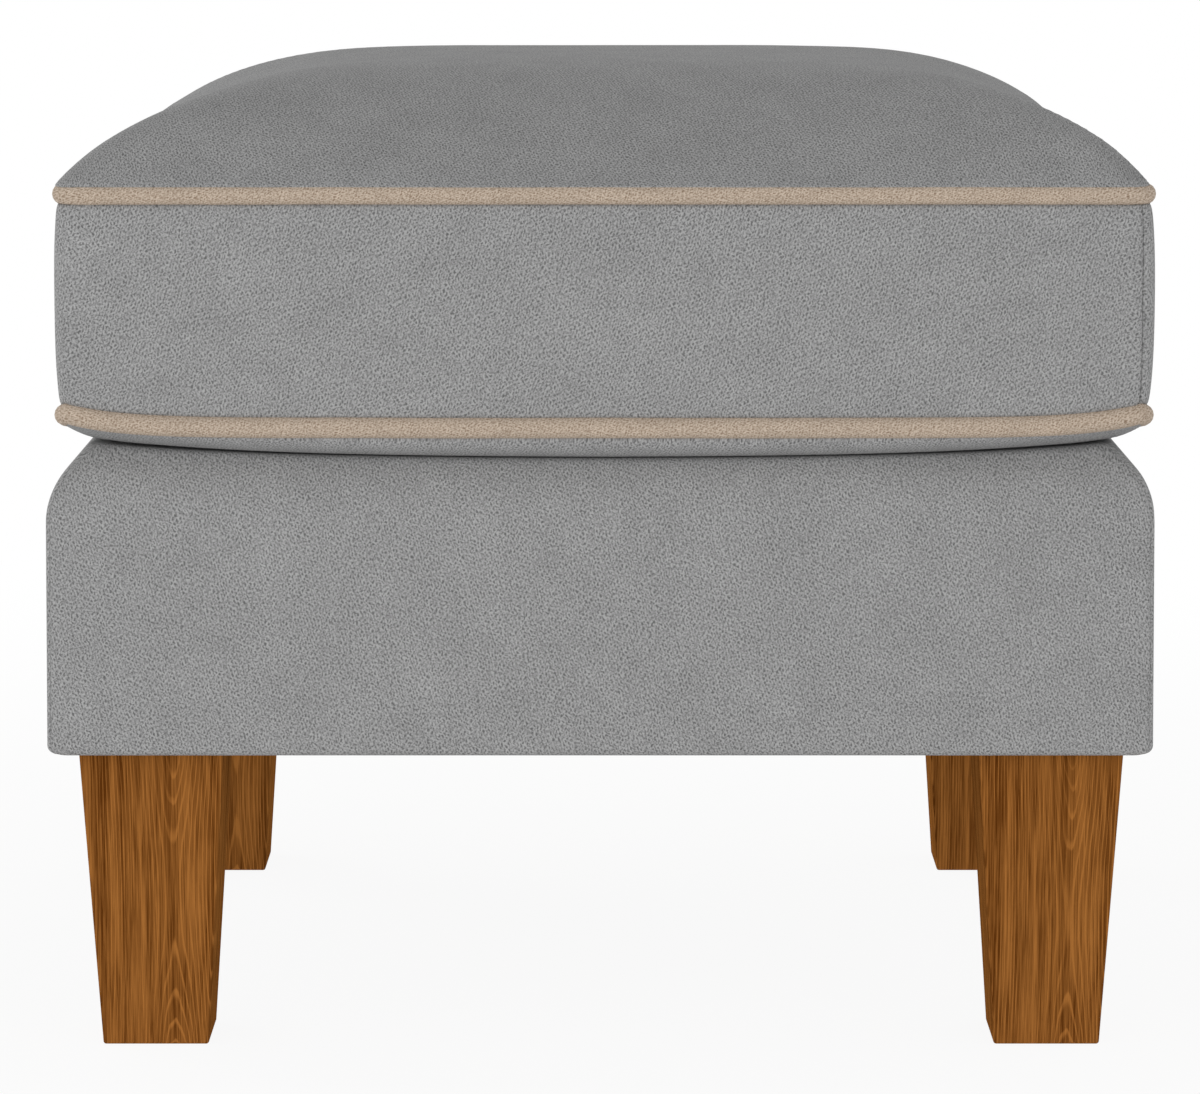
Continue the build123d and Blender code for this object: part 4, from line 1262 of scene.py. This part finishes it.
# %% Rows of the base's cover
shoulder_low, shoulder_high = 270 * mm, 290 * mm
cover_rows = [(cover_return, wall_foot), (20 * mm, wall_foot), (11 * mm, wall_foot)] + base_profile()
cover_grid = []
for row_inset, row_height in cover_rows:
    points, _ = ring(base_half - row_inset, cover_corner(row_inset))
    cover_grid.append(np.column_stack([points, np.full(len(points), row_height)]))
deck_rows = roll_inset + np.array([1, 2, 3, 4, 5, 6, 7, 8.5, 10, 12, 15, 19, 24, 30, 38, 48, 58]) * mm
for row_inset in np.append(deck_rows, deck_border):
    points, _ = ring(base_half - row_inset, cover_corner(row_inset))
    cover_grid.append(np.column_stack([points, cover_height(row_inset, points[:, 0], points[:, 1])]))
cover_grid = np.array(cover_grid)
level = cover_grid[:, :, 2:]
pulled_by = [0.8 * mm, 1.6 * mm, 1.0 * mm]
pulled = np.interp(level, [wall_foot, shoulder_low, shoulder_high], pulled_by) / base_half
cover_grid[:, :, :2] *= 1 - pulled
cover_grid[:, :, :1] += np.interp(level, [shoulder_low, shoulder_high], [-0.5 * mm, 0.2 * mm])
print("base cover rows:", len(cover_grid))

# %% [markdown]
# The cover is sewn from four panels with a seam at each corner. Each panel is a
# quarter of the grid, and its edge dips half a millimetre, so that two panels meet in
# a narrow groove. The place on the cloth is the height climbed, and it starts
# somewhere else for each panel, as if cut from another part of the roll.

# %% Panels of the base's cover
groove_depth, cut_apart = 0.5 * mm, 0.7
base_middle = np.array([0, 0, 200 * mm])
climbed = np.linalg.norm(np.diff(cover_grid[:, quarter // 2], axis=0), axis=1)
climbed = np.concatenate([[0], np.cumsum(climbed)])
for number, side in enumerate(("front", "left", "rear", "right")):
    columns = np.arange(number * quarter, (number + 1) * quarter + 1)
    points = cover_grid[:, columns % ring_size].copy()
    along = points[:, :, 0 if number % 2 == 0 else 1] + number * cut_apart
    from_seam = np.minimum(np.arange(quarter + 1), quarter - np.arange(quarter + 1))
    groove = groove_depth * np.exp(-(from_seam**2) / 2.0)
    away = (points - base_middle) * np.array([1, 1, 0.3])
    away /= np.linalg.norm(away, axis=2, keepdims=True)
    points -= away * groove[None, :, None]
    panel = cloth_mesh(f"base_cover_{side}", points, grid_of(along, climbed[:, None]), flip=True)
    cover_in_grey(panel, "base", f"{side}_cover_panel")
print("climb of the cover", round(climbed[-1] / mm, 1), "mm")

# %% [markdown]
# A plain lining closes the deck under the cushion. Underneath, a black cloth keeps
# the dust out; it is stapled round its edge and sags a hair between the rails.
# Both are flat sheets, cut to size before they are sewn or stapled.

# %% Lining of the deck and dust cloth
lining_half = base_half - deck_border + 0.5 * mm
x, y, _ = square_grid(24, lining_half, 30 * mm, 0.1, 1.0)
deck_lining = cloth_mesh("deck_lining", grid_of(x, y, deck_height(x, y)), grid_of(x, y))
dress(deck_lining, lining_cloth, "base", ["platform_lining"], 1.0 * mm)
dust_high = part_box("dust_cover")[1]
dust_half = dust_high.x
x, y, inset = square_grid(32, dust_half, 4 * mm, 0.0, 1.0)
ripple = 1 + 0.3 * np.sin(x / (9 * mm)) * np.sin(y / (11 * mm))
sag = 0.25 * mm * smooth_step((inset - 20 * mm) / (60 * mm)) * ripple
dust_cloth = cloth_mesh("dust_cloth", grid_of(x, y, dust_high.z - sag), grid_of(x, y))
dress(dust_cloth, black_cloth, "base", ["dust_cover"], 0.4 * mm)
print("lining", round(2 * lining_half, 3), "m square, dust cloth", round(2 * dust_half, 3))

# %% [markdown]
# The fillings are simple bodies, but they too follow the rounded square. `filled`
# sweeps a closed outline round it: rows of half width, corner radius and height.
# Rows that end in the middle give a slab, and rows that come back to the start
# give a band like the wadding round the sides.

# %% Helpers for fillings
near_centre = 0.002


def filled(name, rows, material, nodes, body, closed=False):
    """A filling swept round the rounded square from rows of (half width, corner, height)."""
    grid = []
    for half, corner, height in rows:
        points, _ = ring(half, min(corner, half * 0.99), 40, 8)
        z = height(points[:, 0], points[:, 1], half) if callable(height) else height + 0 * points[:, 0]
        grid.append(np.column_stack([points, z]))
    flat = np.zeros((len(grid) + 1, len(grid[0]) + 1, 2))
    piece = cloth_mesh(name, np.array(grid), flat, wrap=(closed, True), flip=True)
    return dress(piece, material, body, nodes, 0.0)


def slab_rows(half, corner, low, high, rounding):
    """Rows of a slab with rounded edges, from the middle below to the middle above."""
    rows = [(half * share, corner, low) for share in (near_centre, 0.3, 0.6, 0.85)]
    for angle in np.linspace(-pi / 2, pi / 2, 9):
        edge = low + rounding if angle < 0 else high - rounding
        rows.append((half - rounding * (1 - cos(angle)), corner, edge + rounding * sin(angle)))
    return rows + [(half * share, corner, high) for share in (0.85, 0.6, 0.3, near_centre)]


# %% [markdown]
# Inside the cushion is a block of foam between two fibre pads. The upper pad is
# thick in the middle and makes the crown, and the lower one follows the deck.

# %% Fillings of the cushion
core_low, core_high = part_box("foam_core")
core_rows = slab_rows(core_high.x - 4 * mm, 9 * mm, core_low.z + 6 * mm, core_high.z, 9 * mm)
filled("cushion_foam", core_rows, foam, ["foam_core"], "cushion")


def pad_top(x, y, half):
    """The upper face of the upper fibre pad, just below the crown."""
    return crown_foot - 4 * mm + crown_profile((crown_half - half) * 0.85, crown_height - 6 * mm) + 0 * x


def pad_bottom(x, y, half):
    """The lower face of the lower fibre pad, just above the underside."""
    return deck_height(x, y) + 4 * mm


pad_half = core_high.x - 6 * mm
pad_rows = [(pad_half * share, 12 * mm, core_high.z + 0.3 * mm) for share in (near_centre, 0.5, 0.97)]
for share in (1.0, 0.97, 0.9, 0.8, 0.6, 0.3, near_centre):
    pad_rows.append((pad_half * share, 12 * mm + 30 * mm * (1 - share), pad_top))
filled("upper_fibre", pad_rows, fibre, ["top_fibre_pad"], "cushion")
lower_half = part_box("bottom_fibre_pad")[1].x - 8 * mm
pad_rows = [(lower_half * share, 12 * mm, pad_bottom) for share in (near_centre, 0.3, 0.6, 0.85, 0.96)]
pad_rows += [(lower_half, 12 * mm, core_low.z + 3 * mm)]
pad_rows += [(lower_half * share, 12 * mm, core_low.z + 5.5 * mm) for share in (0.98, 0.6, 0.3, near_centre)]
filled("lower_fibre", pad_rows, fibre, ["bottom_fibre_pad"], "cushion")
print("cushion filled")

# %% [markdown]
# Inside the base are the wadding round the frame, a sheet of felt on the webbing, and
# the foam of the deck, which has the same shoulder as the cover. Foam and wadding
# stop one layer of cloth and wadding short of the cover.

# %% Fillings of the base
felt_low, felt_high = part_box("deck_felt")
felt_rows = slab_rows(felt_high.x, 6 * mm, felt_low.z + 0.1 * mm, felt_high.z - 0.1 * mm, 1.2 * mm)
filled("felt_sheet", felt_rows, felt, ["deck_felt"], "base")
foam_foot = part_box("deck_foam")[0].z
layer = 4.2 * mm


def foam_top(x, y, half):
    """The upper face of the deck foam, just below the cover and the lining."""
    return cover_height(base_half - half, x, y) - layer * 1.15


foam_rows = [((base_half - layer) * share, 8 * mm, foam_foot) for share in (near_centre, 0.4, 0.8, 0.985)]
for row_inset, height in base_profile(layer):
    if height > foam_foot + 2 * mm:
        foam_rows.append((base_half - row_inset, cover_corner(row_inset), height))
for row_inset in roll_inset + np.array([3, 5, 7, 10, 15, 24, 38, 58, 90, 150, 220, 264]) * mm:
    foam_rows.append((base_half - row_inset, cover_corner(row_inset), foam_top))
filled("deck_foam_block", foam_rows, foam, ["deck_foam"], "base")
wad_low, wad_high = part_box("side_wadding")
wad_inner, wad_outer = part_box("right_rail")[1].x + 0.4 * mm, base_half - layer
wad_rows = [(wad_inner, 5 * mm, wad_low.z + 1 * mm), (wad_outer - 2 * mm, 6 * mm, wad_low.z)]
wad_rows += [(wad_outer, 6 * mm, z) for z in np.linspace(wad_low.z + 3 * mm, wad_high.z - 3 * mm, 8)]
wad_rows += [(wad_outer - 2 * mm, 6 * mm, wad_high.z - 0.3 * mm), (wad_inner, 5 * mm, wad_high.z - 1 * mm)]
filled("side_wadding_band", wad_rows, fibre, ["side_wadding"], "base", closed=True)
print("base filled")

# %% [markdown]
# Four straps of webbing run each way, woven over and under each other, and carry
# the deck. Each strap is a flat band that steps over its neighbours with a ramp.

# %% Webbing
strap_width, strap_pitch, strap_thick, strap_ramp = 50 * mm, 110 * mm, 1.6 * mm, 15 * mm
strap_places = (np.arange(4) - 1.5) * strap_pitch
web_low, web_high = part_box("webbing_crosswise")
across_strap = np.array([-1, -0.97, -0.3, 0.3, 0.97, 1, 1, 0.97, 0.3, -0.3, -0.97, -1]) * strap_width / 2
up_strap = np.array([0.15, 0, 0, 0, 0, 0.15, 0.85, 1, 1, 1, 1, 0.85]) * (strap_thick - 0.1 * mm)


def strap(along, over, offset, lengthwise):
    """One strap as points: its section swept along, stepping over the crossings in `over`."""
    lift = sum(smooth_step((strap_width / 2 + strap_ramp - np.abs(along - c)) / strap_ramp) for c in over)
    height = web_low.z + strap_thick * lift[None, :] + up_strap[:, None]
    across = offset + across_strap[:, None]
    return grid_of(across, along[None, :], height) if lengthwise else grid_of(along[None, :], across, height)


for way, name in enumerate(("webbing_crosswise", "webbing_lengthwise")):
    along = np.linspace(-web_high.x, web_high.x, 160)
    for number, offset in enumerate(strap_places):
        over = [c for k, c in enumerate(strap_places) if (number + k) % 2 == way]
        points = strap(along, over, offset, way == 1)
        on_cloth = grid_of(along[None, :], np.append(across_strap, -1.2 * strap_width / 2)[:, None])
        piece = cloth_mesh(f"{name}_strap_{number + 1}", points, on_cloth, (True, False), way == 0)
        dress(piece, web_cloth, "base", [name])
print("straps:", 2 * len(strap_places))

# %% [markdown]
# The studio floor is pale grey. The camera also sees plain white in it, more of it
# further away, which brings it near the photo's background and keeps the soft
# shadow. The floor also glows a little, and that glow lights the object from below like a low lamp.

# %% Studio floor
bpy.ops.mesh.primitive_plane_add(size=80)
floor = bpy.context.object
floor.name = "studio_floor"
floor_paint = bpy.data.materials.new("floor_paint")
floor_paint.use_nodes = True
tree = floor_paint.node_tree
paint = tree.nodes["Principled BSDF"]
paint.inputs["Roughness"].default_value = 0.9
speckle = clouds(tree, place_on_object(tree), 0.8)
pale = blend_colours(tree, speckle, (0.84, 0.84, 0.84, 1), (0.88, 0.88, 0.88, 1))
tree.links.new(pale, paint.inputs["Base Color"])


def seen_directly(tree):
    """1 for what the camera, a mirror or glass sees, and 0 for light on the object."""
    rays = place(tree, "ShaderNodeLightPath").outputs
    mirrored = maths(tree, "MAXIMUM", rays["Is Glossy Ray"], rays["Is Transmission Ray"])
    return maths(tree, "MAXIMUM", rays["Is Camera Ray"], mirrored)


white = place(tree, "ShaderNodeEmission", {"Color": (1, 1, 1, 1), "Strength": 1.0}).outputs[0]
from_middle = measure(tree, "LENGTH", place_on_object(tree))
# white_in_lighting is the floor's own glow: white light it gives off onto the object from below, like a low
# lamp.
white_near, white_far, white_in_lighting = 0.92, 1.0, 0.4
white_seen = ramp(tree, from_middle, 0.3, 1.6, white_near, white_far)
shares = {0: seen_directly(tree), 2: white_in_lighting, 3: white_seen}
share_of_white = place(tree, "ShaderNodeMix", shares).outputs[0]
mixed = place(tree, "ShaderNodeMixShader", {0: share_of_white, 1: paint.outputs[0], 2: white})
tree.links.new(mixed.outputs[0], tree.nodes["Material Output"].inputs["Surface"])
floor.data.materials.append(floor_paint)
print("floor staged")

# %% [markdown]
# Most of the light comes from a pale sky, brighter towards the horizon than overhead,
# because in the photo the upright walls are lighter than the crown. What the camera
# sees of it is plain white.

# %% Studio sky
overhead_loss, horizon_strength = -1.0, 1.27
world = bpy.data.worlds.new("studio_sky")
bpy.context.scene.world = world
world.use_nodes = True
sky = world.node_tree.nodes["Background"]
sky.inputs["Color"].default_value = (1, 1, 1, 1)
upwards = place(world.node_tree, "ShaderNodeTexCoord").outputs["Generated"]
upwards = place(world.node_tree, "ShaderNodeSeparateXYZ", {0: upwards}).outputs[2]
lighting = maths(world.node_tree, "MULTIPLY_ADD", upwards, overhead_loss, horizon_strength)
kept_white = seen_directly(world.node_tree)
sky_strength = place(world.node_tree, "ShaderNodeMix", {0: kept_white, 2: lighting, 3: 1.0}).outputs[0]
world.node_tree.links.new(sky_strength, sky.inputs["Strength"])


print("sky strength at the horizon", horizon_strength)

# %% [markdown]
# Two soft lamps give the light a direction: a low, wide one in front and a little to
# the left, and a weaker one behind on the left, for the far side of the crown.


# %% Studio lamps
def soft_lamp(name, stands, aim, width, height, power):
    """A wide soft lamp aimed at a point."""
    data = bpy.data.lights.new(name, "AREA")
    data.shape = "RECTANGLE"
    data.size, data.size_y = width, height
    data.energy = power
    lamp = bpy.data.objects.new(name, data)
    lamp.location = stands
    lamp.rotation_euler = (Vector(aim) - Vector(stands)).to_track_quat("-Z", "Y").to_euler()
    lamp.visible_camera = False
    bpy.context.scene.collection.objects.link(lamp)
    return lamp


front_lamp = soft_lamp("front_lamp", (-1.0, -3.2, 0.43), (0, 0, 0.3), 2.4, 0.8, 17)
rear_left_lamp = soft_lamp("rear_left_lamp", (-2.2, 1.6, 0.75), (0, 0, 0.4), 1.2, 1.2, 12)
print("lamps:", front_lamp.name, rear_left_lamp.name)
